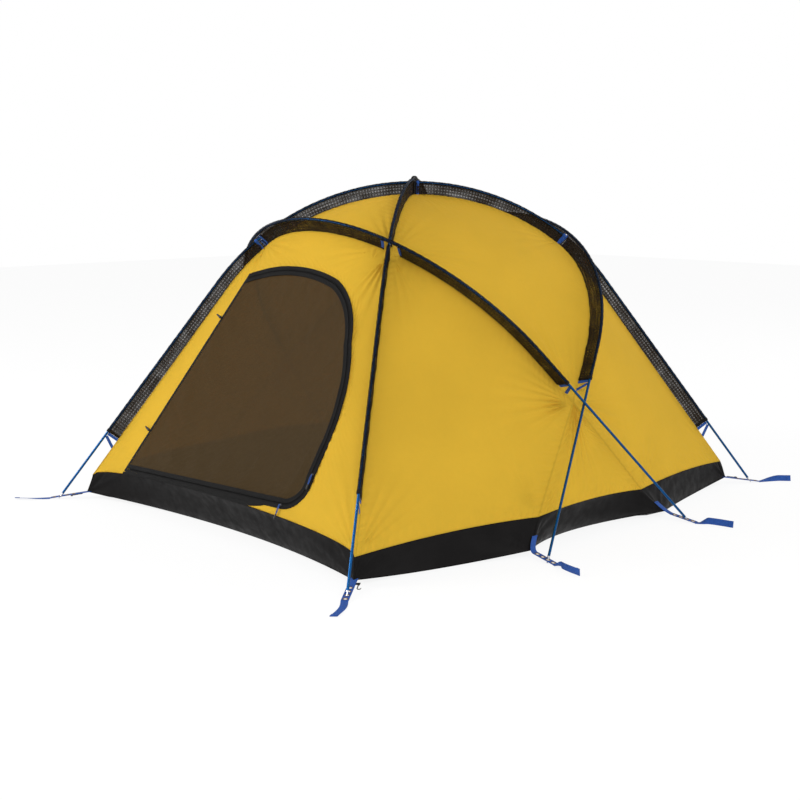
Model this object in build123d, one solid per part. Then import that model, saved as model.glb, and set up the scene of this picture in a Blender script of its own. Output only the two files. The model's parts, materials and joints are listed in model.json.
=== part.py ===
from build123d import *
import math
import os

# Four-pole geodesic inner tent, pitched.  Millimetres, +Z up.
# The origin is on the ground at the middle of the floor; +X is the right-hand side seen from the
# front door, and the front door faces -Y.  The tent is the same at both ends: the rear end is the
# front end turned half a turn about Z.

# ---------------------------------------------------------------- driving dimensions

# poles: two long ones cross over the floor's diagonals, two hoops lean over the doors
POLE_DIAMETER = 9.6
POLE_WALL = 0.6
SECTIONS_PER_POLE = 10
SECTION_GAP = 0.4
FERRULE_LENGTH = 60.0
FERRULE_CLEARANCE = 0.05
FERRULE_WALL = 0.6
SHOCK_CORD_DIAMETER = 2.5
CROSSING_SPACING = 13.0          # centre to centre, where two poles pass

LONG_TIP = (893.0, 1154.0)       # where a long pole stands, in X and Y
LONG_HEIGHT = 1279.0
LONG_RADIUS = 995.0
HOOP_TIP = (1080.0, 408.0)
HOOP_HEIGHT = 1500.0             # measured up the leaning plane
HOOP_RADIUS = 858.0
HOOP_LEAN = 49.4                 # angle of a hoop's plane from the ground

# pole tips
TIP_PLUG_LENGTH = 20.0
TIP_SHOULDER_LENGTH = 4.0
TIP_PIN_DIAMETER = 4.0
TIP_PIN_LENGTH = 22.0
TIP_GROUND_GAP = 1.0

# mesh sleeves and the fins that join them to the canopy
FABRIC = 0.5
SLEEVE_RADIUS = 6.8
FIN_DEPTH = 54.0                 # pole axis to canopy seam
FIN_SEAM_GAP = 1.0
CROSSING_CUTOUT = 32.0           # half the width of the gap at a crossing
LONG_SLEEVE_END = 280.0          # height where a long pole leaves its sleeve
HOOP_SLEEVE_END = 560.0
TAPE_WIDTH = 15.0
TAPE_THICKNESS = 1.2
TAPE_GAP = 1.0                   # from the sleeve's end to the first tape
TAPES_APART = 2.0                # between the two tapes, at the pole
TAPE_SPREAD = 60.0               # run along the seam between the two ends of the vee

# bathtub floor
FLOOR_CORNER = (824.0, 1064.0, 25.0)
FLOOR_SIDE_CORNER = (986.0, 391.0, 24.0)
BAND_TOP_CORNER = 95.0           # height of the band's top where it meets a long pole's seam
BAND_TOP_SIDE = (940.0, 300.0, 118.0)
BAND_ARCH_END = 62.0             # how far the band's top arches up under each door
BAND_ARCH_SIDE = 15.0            # and between the corners along the sides
EDGE_BOW_END = 134.0             # how far the floor's edge curves in at each end of the tent
EDGE_BOW_SIDE = 40.0
EDGE_BOW_MIDDLE = 122.0
EDGE_LIFT = 1.2                  # height of the folded edge where it rests on the ground
BAND_ROWS = (0.01, 0.5, 0.97)    # share of the band's height, clear of the floor and the canopy
GROUNDSHEET = 0.8
GROUNDSHEET_INSET = 8.0

# canopy panels
PANEL_GAP = 1.5
PANEL_STEPS = 6
RING_STEPS = 22                  # steps along each side of a door's opening
SHOULDER_STEPS = 3               # of these, those from the upper corner to the end of the top
TOE_STEPS = 6                    # those round the door's toe
HINGE_STEPS = 3                  # and those up the hinge side to the lower corner

# door, drawn on the leaning plane of the end panel
DOOR_LEAN = 62.5
HINGE_FOOT = (-592.0, 50.0)
HINGE_HEAD = (-280.0, 930.0)
DOOR_TOP = (-20.0, 972.0)
DOOR_SHOULDER_START = (235.0, 932.0)
DOOR_SHOULDER = (345.0, 852.0)
DOOR_SHOULDER_END = (425.0, 705.0)
DOOR_SIDE = (482.0, 555.0)
DOOR_SIDE_TOP = (500.0, 400.0)
DOOR_SIDE_FOOT = (487.0, 212.0)
DOOR_TOE = (460.0, 124.0)
DOOR_TOE_END = (390.0, 86.0)
ZIP_TAPE = 14.0
ZIP_TAPE_THICKNESS = 0.8
ZIP_TAPE_SEAM = 0.3
ZIP_GAP = 1.0
HINGE_GAP = 2.0
STRIP_OVERRUN = 60.0             # how far a cutting strip reaches past the hinge edge

# zip sliders and pulls
SLIDER = (9.0, 13.0, 3.2)
SLIDER_LIFT = 1.2
PULL_CORD_RADIUS = 1.5
PULL_CORD_LENGTH = 34.0
PULL_GRIP_RADIUS = 3.2
PULL_GRIP_LENGTH = 20.0
SIDE_SLIDER_RUN = 8.0            # rest place of each slider, from its end of the straight zip
FOOT_SLIDER_RUN = 14.0

# toggles that hold a rolled door
TOGGLE_RUNS = (0.205, 0.775)     # share of the hinge edge, from its foot
TOGGLE_RADIUS = 3.0
TOGGLE_LENGTH = 30.0
TOGGLE_LOOP_LENGTH = 10.0
TOGGLE_OFFSET = 6.0
TOGGLE_LIFT = 4.0

# webbing straps at the eight pole feet
WEBBING_WIDTH = 25.0
WEBBING = 1.6
STRAP_START_GAP = 3.0
STITCH_GAP = 0.1
STRAP_PAST_TIP = 42.0
STRAP_TIP_HEIGHT = 10.0
EYELETS_PER_STRAP = 4
EYELET_SPACING = 26.0
EYELET_RADIUS = 8.5
EYELET_HOLE = 5.5
EYELET_THICKNESS = 2.4
TAIL_LENGTH = 140.0
TAIL_GAP = 1.5
TAIL_SPREAD = 14.0               # how far a side strap's tail turns towards its end of the tent

# flysheet hooks beside the corner straps
HOOK_WIRE_RADIUS = 1.8
HOOK_LENGTH = 22.0
HOOK_BEND_RADIUS = 6.0
HOOK_OFFSET = 22.0
HOOK_TAB_PLACE = -85.0          # from the pole's tip, back along the strap

POLE_RADIUS = POLE_DIAMETER / 2
BORE_RADIUS = POLE_RADIUS - POLE_WALL


# ---------------------------------------------------------------- geometry helpers

class Arch:
    """A bent pole in its own plane: a round stretch over the top and a straight leg each side.

    A place on it is a run, the distance along the pole from its top, and an inset towards the
    inside of the tent."""

    def __init__(self, plane, half_span, height, radius):
        self.plane = plane
        self.radius = radius
        self.centre = height - radius
        reach = math.hypot(half_span, self.centre)
        self.turn = math.pi / 2 - math.acos(radius / reach) + math.atan2(self.centre, half_span)
        self.arc = radius * self.turn
        knee_across = radius * math.sin(self.turn)
        self.leg = math.hypot(half_span - knee_across, self.centre + radius * math.cos(self.turn))
        self.length = self.arc + self.leg

    def local(self, run, inset=0.0):
        side = math.copysign(1.0, run)
        round_run = min(abs(run), self.arc)
        angle = round_run / self.radius
        straight = abs(run) - round_run
        reach = self.radius - inset
        across = reach * math.sin(angle) + straight * math.cos(angle)
        up = self.centre + reach * math.cos(angle) - straight * math.sin(angle)
        return (side * across, up)

    def point(self, run, inset=0.0):
        return self.plane.from_local_coords(Vector(*self.local(run, inset), 0))

    def direction(self, run):
        step = 0.5
        return (self.point(run + step) - self.point(run - step)).normalized()

    def edges(self, start, end, inset=0.0):
        """Edges along the arch from one run to another, in the arch's own coordinates."""
        knees = [knee for knee in (-self.arc, self.arc) if start < knee < end]
        stops = [start, *knees, end]
        pieces = []
        for first, last in zip(stops, stops[1:]):
            middle = (first + last) / 2
            ends = (self.local(first, inset), self.local(middle, inset), self.local(last, inset))
            if abs(middle) < self.arc:
                pieces.append(ThreePointArc(*ends))
            else:
                pieces.append(Line(ends[0], ends[2]))
        return pieces

    def path(self, start, end):
        return self.plane * Wire(self.edges(start, end))

    def run_at_height(self, height, inset=0.0):
        """Run on the straight leg where the (inset) arch passes a height above the ground."""
        return bisect(lambda run: height - self.point(run, inset).Z, 0.0, self.length)

    def run_at_plane(self, plane, low, high, inset=0.0):
        return bisect(lambda run: plane.to_local_coords(self.point(run, inset)).Z, low, high)


def bisect(function, low, high):
    rising = function(high) > function(low)
    for _ in range(60):
        middle = (low + high) / 2
        if (function(middle) > 0) == rising:
            high = middle
        else:
            low = middle
    return (low + high) / 2


def long_arch(side, lift=0.0):
    """The diagonal arch whose positive leg stands at +X and, for side = -1, at the front."""
    span = math.hypot(*LONG_TIP)
    across = Vector(LONG_TIP[0] / span, side * LONG_TIP[1] / span, 0)
    plane = Plane(origin=(0, 0, 0), x_dir=across, z_dir=across.cross(Vector(0, 0, 1)))
    return Arch(plane, span, LONG_HEIGHT + lift, LONG_RADIUS)


def hoop_arch(end, shift=0.0):
    """The hoop that leans over the front door (end = -1) or the rear door (end = 1)."""
    lean = math.radians(HOOP_LEAN)
    across = Vector(1, 0, 0)
    up = Vector(0, end * math.cos(lean), math.sin(lean))
    plane = Plane(origin=(shift, -end * HOOP_TIP[1], 0), x_dir=across, z_dir=across.cross(up))
    return Arch(plane, HOOP_TIP[0], HOOP_HEIGHT, HOOP_RADIUS)


HALF_SPACING = CROSSING_SPACING / 2
UPPER_POLE = long_arch(-1, HALF_SPACING)
LOWER_POLE = long_arch(1, -HALF_SPACING)
FRONT_HOOP = hoop_arch(-1, HALF_SPACING)
REAR_HOOP = hoop_arch(1, -HALF_SPACING)
POLES = {
    "long_pole_upper": UPPER_POLE,
    "long_pole_lower": LOWER_POLE,
    "front_hoop_pole": FRONT_HOOP,
    "rear_hoop_pole": REAR_HOOP,
}

# the canopy's seams follow the arches without their small stacking offsets
SEAM_TO_FRONT_RIGHT = long_arch(-1)
SEAM_FRONT = hoop_arch(-1)


def mirrored(shapes, flip_x, flip_y):
    for flip, plane in ((flip_x, Plane.YZ), (flip_y, Plane.XZ)):
        if flip:
            shapes = [mirror(shape, about=plane) for shape in shapes]
    return shapes


def half_turned(shapes):
    return [Rot(0, 0, 180) * shape for shape in shapes]


def round_bar(start, end, radius):
    axis = Vector(*end) - Vector(*start)
    face = Plane(origin=start, z_dir=axis) * Circle(radius)
    return extrude(face, amount=axis.length)


def write(name, shapes):
    solids = [solid for shape in shapes for solid in shape.solids()]
    node = Compound(children=solids) if len(solids) > 1 else solids[0]
    node.label = name
    export_step(node, f"parts/{name}.step")


# ---------------------------------------------------------------- sheets of fabric

def blend(first, second, share):
    return first * (1 - share) + second * share


def triangle(a, b, c):
    return Face(Wire.make_polygon([a, b, c], close=True))


def sheet(rows, thickness, closed=False):
    """A thin solid whose outer face passes through rows of points; the thickness is inwards.

    Seen from outside, points run to the right along a row and rows go up.  A closed sheet joins
    the end of every row to its start, like a ring."""
    count = len(rows[0])
    steps = count if closed else count - 1

    def neighbour(index, step):
        if closed:
            return (index + step) % count
        return min(max(index + step, 0), count - 1)

    def normal(i, j):
        above, below = rows[min(i + 1, len(rows) - 1)][j], rows[max(i - 1, 0)][j]
        after, before = rows[i][neighbour(j, 1)], rows[i][neighbour(j, -1)]
        return (after - before).cross(above - below).normalized()

    inner = [[point - normal(i, j) * thickness for j, point in enumerate(row)]
             for i, row in enumerate(rows)]
    faces = []

    def quad(a, b, c, d):
        faces.append(triangle(a, b, c))
        faces.append(triangle(a, c, d))

    for i in range(len(rows) - 1):
        for j in range(steps):
            k = neighbour(j, 1)
            quad(rows[i][j], rows[i][k], rows[i + 1][k], rows[i + 1][j])
            quad(inner[i][j], inner[i + 1][j], inner[i + 1][k], inner[i][k])
    for j in range(steps):
        k = neighbour(j, 1)
        quad(rows[0][k], rows[0][j], inner[0][j], inner[0][k])
        quad(rows[-1][j], rows[-1][k], inner[-1][k], inner[-1][j])
    if not closed:
        for i in range(len(rows) - 1):
            quad(rows[i][0], rows[i + 1][0], inner[i + 1][0], inner[i][0])
            quad(rows[i + 1][-1], rows[i][-1], inner[i][-1], inner[i + 1][-1])
    solid = Solid(Shell(faces))
    return solid if solid.volume > 0 else Solid(Shell([-face for face in faces]))


def patch(bottom, top, left, right):
    """Rows of points filling four edges, each a list that meets its neighbours at the corners."""
    columns, lines = len(bottom) - 1, len(left) - 1
    rows = []
    for i in range(lines + 1):
        v = i / lines
        row = []
        for j in range(columns + 1):
            u = j / columns
            across = blend(left[i], right[i], u)
            along = blend(bottom[j], top[j], v)
            corners = blend(blend(bottom[0], bottom[-1], u), blend(top[0], top[-1], u), v)
            row.append(across + along - corners)
        rows.append(row)
    return rows


def pulled_in(rows, gap):
    """The same rows with every border point moved in by a gap, so that neighbours stay clear."""
    middle_row, middle_column = len(rows) // 2, len(rows[0]) // 2

    def towards(point, target, distance):
        return point + (target - point).normalized() * distance

    moved = [list(row) for row in rows]
    for i, row in enumerate(rows):
        for j in (0, -1):
            moved[i][j] = towards(moved[i][j], row[middle_column], gap)
    for j in range(len(rows[0])):
        for i in (0, -1):
            if (rows[i][j] - rows[middle_row][j]).length > gap:
                moved[i][j] = towards(moved[i][j], rows[middle_row][j], gap)
    return moved


def samples(start, end, steps):
    return [start + (end - start) * i / steps for i in range(steps + 1)]


def seam(arch, first, last, start, end):
    """Points along a seam, eased so that its ends meet the given corner points exactly."""
    points = [arch.point(run, FIN_DEPTH) for run in samples(first, last, PANEL_STEPS)]
    start_shift, end_shift = start - points[0], end - points[-1]
    return [point + blend(start_shift, end_shift, i / PANEL_STEPS)
            for i, point in enumerate(points)]


def straight(start, end):
    return [blend(start, end, share) for share in samples(0, 1, PANEL_STEPS)]


def band_top(start, end, arch, fullness=1.0):
    """The seam between band and canopy, which arches up between two corners."""
    points = straight(start, end)
    shares = samples(0, 1, PANEL_STEPS)
    return [point + arch * (4 * share * (1 - share)) ** fullness
            for point, share in zip(points, shares)]


# corner points of the canopy on its front right quarter
LONG_SEAM_CROSSING = SEAM_TO_FRONT_RIGHT.run_at_plane(SEAM_FRONT.plane, 300, 1000, FIN_DEPTH)
HOOP_SEAM_CROSSING = SEAM_FRONT.run_at_plane(SEAM_TO_FRONT_RIGHT.plane, 200, 800, FIN_DEPTH)
HOOPS_MEETING = SEAM_FRONT.run_at_plane(Plane.XZ, 700, 1900, FIN_DEPTH)
BAND_CORNER_RUN = SEAM_TO_FRONT_RIGHT.run_at_height(BAND_TOP_CORNER, FIN_DEPTH)
CROWN = SEAM_TO_FRONT_RIGHT.point(0, FIN_DEPTH)
CROSSING = blend(SEAM_TO_FRONT_RIGHT.point(LONG_SEAM_CROSSING, FIN_DEPTH),
                 SEAM_FRONT.point(HOOP_SEAM_CROSSING, FIN_DEPTH), 0.5)
WAIST = SEAM_FRONT.point(HOOPS_MEETING, FIN_DEPTH)
BAND_CORNER = SEAM_TO_FRONT_RIGHT.point(BAND_CORNER_RUN, FIN_DEPTH)
BAND_SIDE = Vector(BAND_TOP_SIDE[0], -BAND_TOP_SIDE[1], BAND_TOP_SIDE[2])
SIDE_ARCH = Vector(0, 0, BAND_ARCH_SIDE)
END_ARCH = Vector(0, math.cos(math.radians(DOOR_LEAN)), math.sin(math.radians(DOOR_LEAN)))
END_ARCH = END_ARCH * BAND_ARCH_END
END_ARCH_FULLNESS = 0.5          # below 1 the arch rises steeply at its ends and is flat between


def flipped(point, flip_x=False, flip_y=False):
    return Vector(-point.X if flip_x else point.X, -point.Y if flip_y else point.Y, point.Z)


def canopy_sheet(rows):
    return sheet(pulled_in(rows, PANEL_GAP), FABRIC)


def front_roof():
    """The panel between the front hoop and the crossing of the long poles."""
    crown_share = 0.93
    bottom = seam(SEAM_FRONT, -HOOP_SEAM_CROSSING, HOOP_SEAM_CROSSING,
                  flipped(CROSSING, flip_x=True), CROSSING)
    near_crown = LONG_SEAM_CROSSING * (1 - crown_share)
    right = seam(SEAM_TO_FRONT_RIGHT, LONG_SEAM_CROSSING, near_crown, CROSSING,
                 SEAM_TO_FRONT_RIGHT.point(near_crown, FIN_DEPTH))
    left = [flipped(point, flip_x=True) for point in right]
    return canopy_sheet(patch(bottom, straight(left[-1], right[-1]), left, right))


def right_roof():
    """The four-sided panel between both hoops and both long poles, on the right."""
    rear_crossing = flipped(CROSSING, flip_y=True)
    front_low = seam(SEAM_FRONT, HOOPS_MEETING, HOOP_SEAM_CROSSING, WAIST, CROSSING)
    rear_low = [flipped(point, flip_y=True) for point in front_low]
    front_high = seam(SEAM_TO_FRONT_RIGHT, LONG_SEAM_CROSSING, 0, CROSSING, CROWN)
    rear_high = [flipped(point, flip_y=True) for point in front_high]
    return canopy_sheet(patch(rear_low, front_high, front_low, rear_high))


def front_right_side():
    """The panel between the corner, the hoop and the seam down from the waist."""
    bottom = band_top(BAND_CORNER, BAND_SIDE, SIDE_ARCH)
    left = seam(SEAM_TO_FRONT_RIGHT, BAND_CORNER_RUN, LONG_SEAM_CROSSING, BAND_CORNER, CROSSING)
    top = seam(SEAM_FRONT, HOOP_SEAM_CROSSING, HOOPS_MEETING, CROSSING, WAIST)
    right = straight(BAND_SIDE, WAIST)
    return canopy_sheet(patch(bottom, top, left, right))


def right_gusset():
    """The narrow panel under the crossing of the hoops."""
    tip = 0.9
    front_edge = straight(BAND_SIDE, blend(BAND_SIDE, WAIST, tip))
    rear_edge = [flipped(point, flip_y=True) for point in front_edge]
    bottom = band_top(front_edge[0], rear_edge[0], SIDE_ARCH)
    top = straight(front_edge[-1], rear_edge[-1])
    return canopy_sheet(patch(bottom, top, front_edge, rear_edge))


# ---------------------------------------------------------------- end panels and doors

def door_plane():
    lean = math.radians(DOOR_LEAN)
    outward = (0, -math.sin(lean), math.cos(lean))
    return Plane(origin=(0, BAND_CORNER.Y, BAND_CORNER.Z), x_dir=(1, 0, 0), z_dir=outward)


DOOR_PLANE = door_plane()


def door_edges():
    """The opening's outline from the hinge's head, over the top and round to the hinge's foot."""
    return [
        ThreePointArc(HINGE_HEAD, DOOR_TOP, DOOR_SHOULDER_START),
        ThreePointArc(DOOR_SHOULDER_START, DOOR_SHOULDER, DOOR_SHOULDER_END),
        ThreePointArc(DOOR_SHOULDER_END, DOOR_SIDE, DOOR_SIDE_TOP),
        Line(DOOR_SIDE_TOP, DOOR_SIDE_FOOT),
        ThreePointArc(DOOR_SIDE_FOOT, DOOR_TOE, DOOR_TOE_END),
        Line(DOOR_TOE_END, HINGE_FOOT),
        Line(HINGE_FOOT, HINGE_HEAD),
    ]


def on_door(point, lift=0.0):
    return DOOR_PLANE.from_local_coords(Vector(point.X, point.Y, lift))


def wire_points(edges, first, last, steps):
    """Points on the door plane along part of a run of outline edges, given as shares of it."""
    wire = Wire(edges)
    return [on_door(wire @ share) for share in samples(first, last, steps)]


def fine(points):
    """An edge's points with straight steps added between them, RING_STEPS in all."""
    scale = (len(points) - 1) / RING_STEPS
    result = []
    for i in range(RING_STEPS + 1):
        index = min(int(i * scale), len(points) - 2)
        result.append(blend(points[index], points[index + 1], i * scale - index))
    return result


def front_end_panel():
    """The end panel as a ring from the door's opening out to the seams and the floor band."""
    edges = door_edges()
    corner_share = 0.86          # where the panel's upper corner meets the outline over the top
    hinge_share = 0.1            # and its lower corner the hinge side
    hinge_side = wire_points(edges[6:], hinge_share, 1, RING_STEPS)
    over_top = wire_points(edges[:2], 0, corner_share, RING_STEPS)
    shoulder = wire_points(edges[:2], corner_share, 1, SHOULDER_STEPS)
    down_side = wire_points(edges[2:4], 0, 1, RING_STEPS - SHOULDER_STEPS)
    zip_side = shoulder[:-1] + down_side
    toe = wire_points(edges[4:5], 0, 1, TOE_STEPS)
    foot = wire_points(edges[5:6], 0, 1, RING_STEPS - TOE_STEPS - HINGE_STEPS)
    hinge_foot = wire_points(edges[6:], 0, hinge_share, HINGE_STEPS)
    foot_side = toe[:-1] + foot[:-1] + hinge_foot
    inner = hinge_side[:-1] + over_top[:-1] + zip_side[:-1] + foot_side[:-1]

    right_leg = seam(SEAM_TO_FRONT_RIGHT, LONG_SEAM_CROSSING, BAND_CORNER_RUN,
                     CROSSING, BAND_CORNER)
    left_leg = [flipped(point, flip_x=True) for point in reversed(right_leg)]
    hoop = seam(SEAM_FRONT, -HOOP_SEAM_CROSSING, HOOP_SEAM_CROSSING,
                flipped(CROSSING, flip_x=True), CROSSING)
    seam_to_band = band_top(BAND_CORNER, flipped(BAND_CORNER, flip_x=True), END_ARCH,
                            END_ARCH_FULLNESS)
    outer = [point for edge in (left_leg, hoop, right_leg, seam_to_band)
             for point in fine(edge)[:-1]]

    pairs = list(zip(inner, outer))
    inner = [near + (far - near).normalized() * PANEL_GAP for near, far in pairs]
    outer = [far + (near - far).normalized() * PANEL_GAP for near, far in pairs]
    return sheet([inner, outer], FABRIC, closed=True)


def door_outline(hinge_shift=0.0):
    """The opening as a flat face; the hinge side can be moved out by a short shift."""
    edges = door_edges()
    if hinge_shift:
        foot, head = Vector(*HINGE_FOOT), Vector(*HINGE_HEAD)
        along = (head - foot).normalized()
        shift = Vector(-along.Y, along.X) * hinge_shift
        edges = edges[:-1] + [Line(foot, foot + shift), Line(foot + shift, head + shift),
                              Line(head + shift, head)]
    return Face(Wire(edges))


def on_door_plane(sketch, thickness, lift=0.0):
    return DOOR_PLANE * (Pos(0, 0, lift) * extrude(sketch, amount=thickness))


def hinge_strip(depth):
    """A flat strip over the hinge edge that reaches a depth inside the opening."""
    foot, head = Vector(*HINGE_FOOT), Vector(*HINGE_HEAD)
    along = (head - foot).normalized()
    inwards = Vector(along.Y, -along.X)
    start, end = foot - along * STRIP_OVERRUN, head + along * STRIP_OVERRUN
    corners = [start - inwards * STRIP_OVERRUN, start + inwards * depth,
               end + inwards * depth, end - inwards * STRIP_OVERRUN]
    return Face(Wire.make_polygon(corners, close=True))


def zip_band(outer, inner):
    """The band between two insets of the opening, without its hinge side."""
    band = offset(door_outline(), -outer) - offset(door_outline(), -inner)
    return on_door_plane(band - hinge_strip(inner + HINGE_GAP), ZIP_TAPE_THICKNESS)


def body_zip_tape():
    return zip_band(ZIP_GAP, ZIP_TAPE)


def door_zip_tape():
    return zip_band(ZIP_TAPE + ZIP_GAP, 2 * ZIP_TAPE)


def door_mesh():
    """The mesh reaches the zip tape on three sides and almost to the hinge line on the fourth."""
    inset = 2 * ZIP_TAPE + ZIP_TAPE_SEAM
    return on_door_plane(offset(door_outline(inset - HINGE_GAP), -inset), FABRIC)


def zip_frame(run, start, end):
    """A plane on the zip tape at a run from one end of a straight stretch towards the other.

    Its X looks along the stretch, and its Z out of the tent."""
    start, end = Vector(*start), Vector(*end)
    along = (end - start).normalized()
    inwards = Vector(-along.Y, along.X)
    if inwards.dot(Vector(0, 500) - start) < 0:
        inwards = -inwards
    place = start + along * run + inwards * (ZIP_TAPE + ZIP_GAP) / 2
    x_dir = on_door(along) - on_door(Vector(0, 0))
    return Plane(origin=on_door(place, ZIP_TAPE_THICKNESS + SLIDER_LIFT), x_dir=x_dir,
                 z_dir=DOOR_PLANE.z_dir)


SIDE_ZIP = zip_frame(SIDE_SLIDER_RUN, DOOR_SIDE_FOOT, DOOR_SIDE_TOP)
FOOT_ZIP = zip_frame(FOOT_SLIDER_RUN, DOOR_TOE_END, HINGE_FOOT)


def zip_slider(frame):
    width, length, height = SLIDER
    body = Pos(0, 0, height / 2) * Box(length, width, height)
    body = fillet(body.edges().filter_by(Axis.Z), width / 4)
    return frame * body


def pull_pivot(frame):
    width, length, height = SLIDER
    return frame.origin + frame.z_dir * (height + PULL_CORD_RADIUS + ZIP_GAP / 2)


def zip_pull(frame):
    """A cord with a moulded grip, hanging down the door plane from its slider."""
    down = -DOOR_PLANE.y_dir
    start = pull_pivot(frame) + DOOR_PLANE.z_dir * (PULL_GRIP_RADIUS - PULL_CORD_RADIUS)
    middle = start + down * PULL_CORD_LENGTH
    cord = round_bar(start, middle, PULL_CORD_RADIUS)
    grip = round_bar(middle, middle + down * PULL_GRIP_LENGTH, PULL_GRIP_RADIUS)
    return cord + grip


def toggle(share):
    """A toggle on a short webbing loop, pointing away from the hinge edge."""
    foot, head = Vector(*HINGE_FOOT), Vector(*HINGE_HEAD)
    along = (head - foot).normalized()
    outwards = Vector(-along.Y, along.X)
    root = foot + (head - foot) * share + outwards * TOGGLE_OFFSET
    far = root + outwards * TOGGLE_LOOP_LENGTH
    loop = round_bar(on_door(root, TOGGLE_LIFT), on_door(far, TOGGLE_LIFT), TOGGLE_RADIUS / 2)
    tip = far + outwards * TOGGLE_LENGTH
    bar = round_bar(on_door(far, TOGGLE_LIFT), on_door(tip, TOGGLE_LIFT), TOGGLE_RADIUS)
    return loop + bar


# ---------------------------------------------------------------- poles

TIP_REACH = TIP_GROUND_GAP + TIP_PIN_LENGTH + TIP_SHOULDER_LENGTH


def tube(arch, start, end, outer, inner=0.0):
    path = arch.path(start, end)
    face = Circle(outer)
    if inner:
        face = face - Circle(inner)
    return sweep(Plane(origin=path @ 0, z_dir=path % 0) * face, path=path)


def section_joints(arch):
    end = arch.length - TIP_REACH
    return samples(-end, end, SECTIONS_PER_POLE)


def pole_sections(arch):
    joints = section_joints(arch)
    return [tube(arch, start + SECTION_GAP / 2, end - SECTION_GAP / 2, POLE_RADIUS, BORE_RADIUS)
            for start, end in zip(joints, joints[1:])]


def ferrules(arch):
    outer = BORE_RADIUS - FERRULE_CLEARANCE
    half = FERRULE_LENGTH / 2
    return [tube(arch, joint - half, joint + half, outer, outer - FERRULE_WALL)
            for joint in section_joints(arch)[1:-1]]


def shock_cord(arch):
    end = arch.length - TIP_REACH - TIP_PLUG_LENGTH - SECTION_GAP
    return tube(arch, -end, end, SHOCK_CORD_DIAMETER / 2)


def pole_tips(arch):
    """Turned plugs in the pole's ends, each with a shoulder and a pin for an eyelet."""
    tips = []
    for side in (-1, 1):
        pin_end = arch.length - TIP_GROUND_GAP
        shoulder = pin_end - TIP_PIN_LENGTH
        plug = shoulder - TIP_SHOULDER_LENGTH
        points = [arch.point(side * run) for run in
                  (plug - TIP_PLUG_LENGTH, plug, shoulder, pin_end)]
        radii = (BORE_RADIUS - FERRULE_CLEARANCE, POLE_RADIUS, TIP_PIN_DIAMETER / 2)
        pieces = [round_bar(*ends) for ends in zip(points, points[1:], radii)]
        tips.append(pieces[0] + pieces[1] + pieces[2])
    return tips


# ---------------------------------------------------------------- mesh sleeves and fins

def fin(arch, start, end):
    """A flat mesh web in the pole's plane, from its sleeve in to the canopy's seam."""
    outer_inset = SLEEVE_RADIUS + FABRIC
    inner_inset = FIN_DEPTH - FIN_SEAM_GAP
    outer = arch.edges(start, end, outer_inset)
    inner = arch.edges(start, end, inner_inset)
    first = Line(arch.local(start, outer_inset), arch.local(start, inner_inset))
    last = Line(arch.local(end, outer_inset), arch.local(end, inner_inset))
    flat = arch.plane * Face(Wire([*outer, last, *inner, first]))
    return extrude(flat, amount=FABRIC / 2, both=True)


def spans(stops, half_gap):
    """Stretches between stops, shortened by half a gap at every stop but the first and last."""
    pieces = []
    for index, (start, end) in enumerate(zip(stops, stops[1:])):
        start += half_gap if index > 0 else 0
        end -= half_gap if index < len(stops) - 2 else 0
        pieces.append((start, end))
    return pieces


def sleeve(arch, sleeve_stops, fin_stops):
    tubes = [tube(arch, start, end, SLEEVE_RADIUS, SLEEVE_RADIUS - FABRIC)
             for start, end in spans(sleeve_stops, CROSSING_CUTOUT)]
    fins = [fin(arch, start, end) for start, end in spans(fin_stops, CROSSING_CUTOUT)]
    return tubes + fins


LONG_END = SEAM_TO_FRONT_RIGHT.run_at_height(LONG_SLEEVE_END)
HOOP_END = SEAM_FRONT.run_at_height(HOOP_SLEEVE_END)
LONG_CROSSING = SEAM_TO_FRONT_RIGHT.run_at_plane(SEAM_FRONT.plane, 300, 1000)
HOOP_CROSSING = SEAM_FRONT.run_at_plane(SEAM_TO_FRONT_RIGHT.plane, 200, 800)


def all_sleeves():
    """Each pole's sleeve stops where another pole passes over it; each fin stops at every pole."""
    long_stops = [-LONG_END, -LONG_CROSSING, LONG_CROSSING, LONG_END]
    crossed = [-LONG_END, -LONG_CROSSING, 0, LONG_CROSSING, LONG_END]
    hoop_ends = [-HOOP_END, HOOP_END]
    hoop_stops = [-HOOP_END, -HOOP_CROSSING, HOOP_CROSSING, HOOP_END]
    return {
        "long_sleeve_upper": sleeve(UPPER_POLE, long_stops, crossed),
        "long_sleeve_lower": sleeve(LOWER_POLE, crossed, crossed),
        "front_hoop_sleeve": sleeve(FRONT_HOOP, hoop_ends, hoop_stops),
        "rear_hoop_sleeve": sleeve(REAR_HOOP, hoop_ends, hoop_stops),
    }


def tape_vee(arch, end):
    """Two flat tapes from a sleeve's end to the canopy's seam: one square to it, one raked."""
    outer_inset = SLEEVE_RADIUS + FABRIC
    inner_inset = FIN_DEPTH - FIN_SEAM_GAP
    tapes = []
    for side in (-1, 1):
        first = end + TAPE_GAP
        raked = first + TAPE_WIDTH + TAPES_APART
        for top, foot in ((first, first), (raked, end + TAPE_SPREAD)):
            corners = [arch.local(side * top, outer_inset),
                       arch.local(side * (top + TAPE_WIDTH), outer_inset),
                       arch.local(side * (foot + TAPE_WIDTH), inner_inset),
                       arch.local(side * foot, inner_inset)]
            flat = arch.plane * Face(Wire.make_polygon(corners, close=True))
            tapes.append(extrude(flat, amount=TAPE_THICKNESS / 2, both=True))
    return tapes


# ---------------------------------------------------------------- floor

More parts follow.
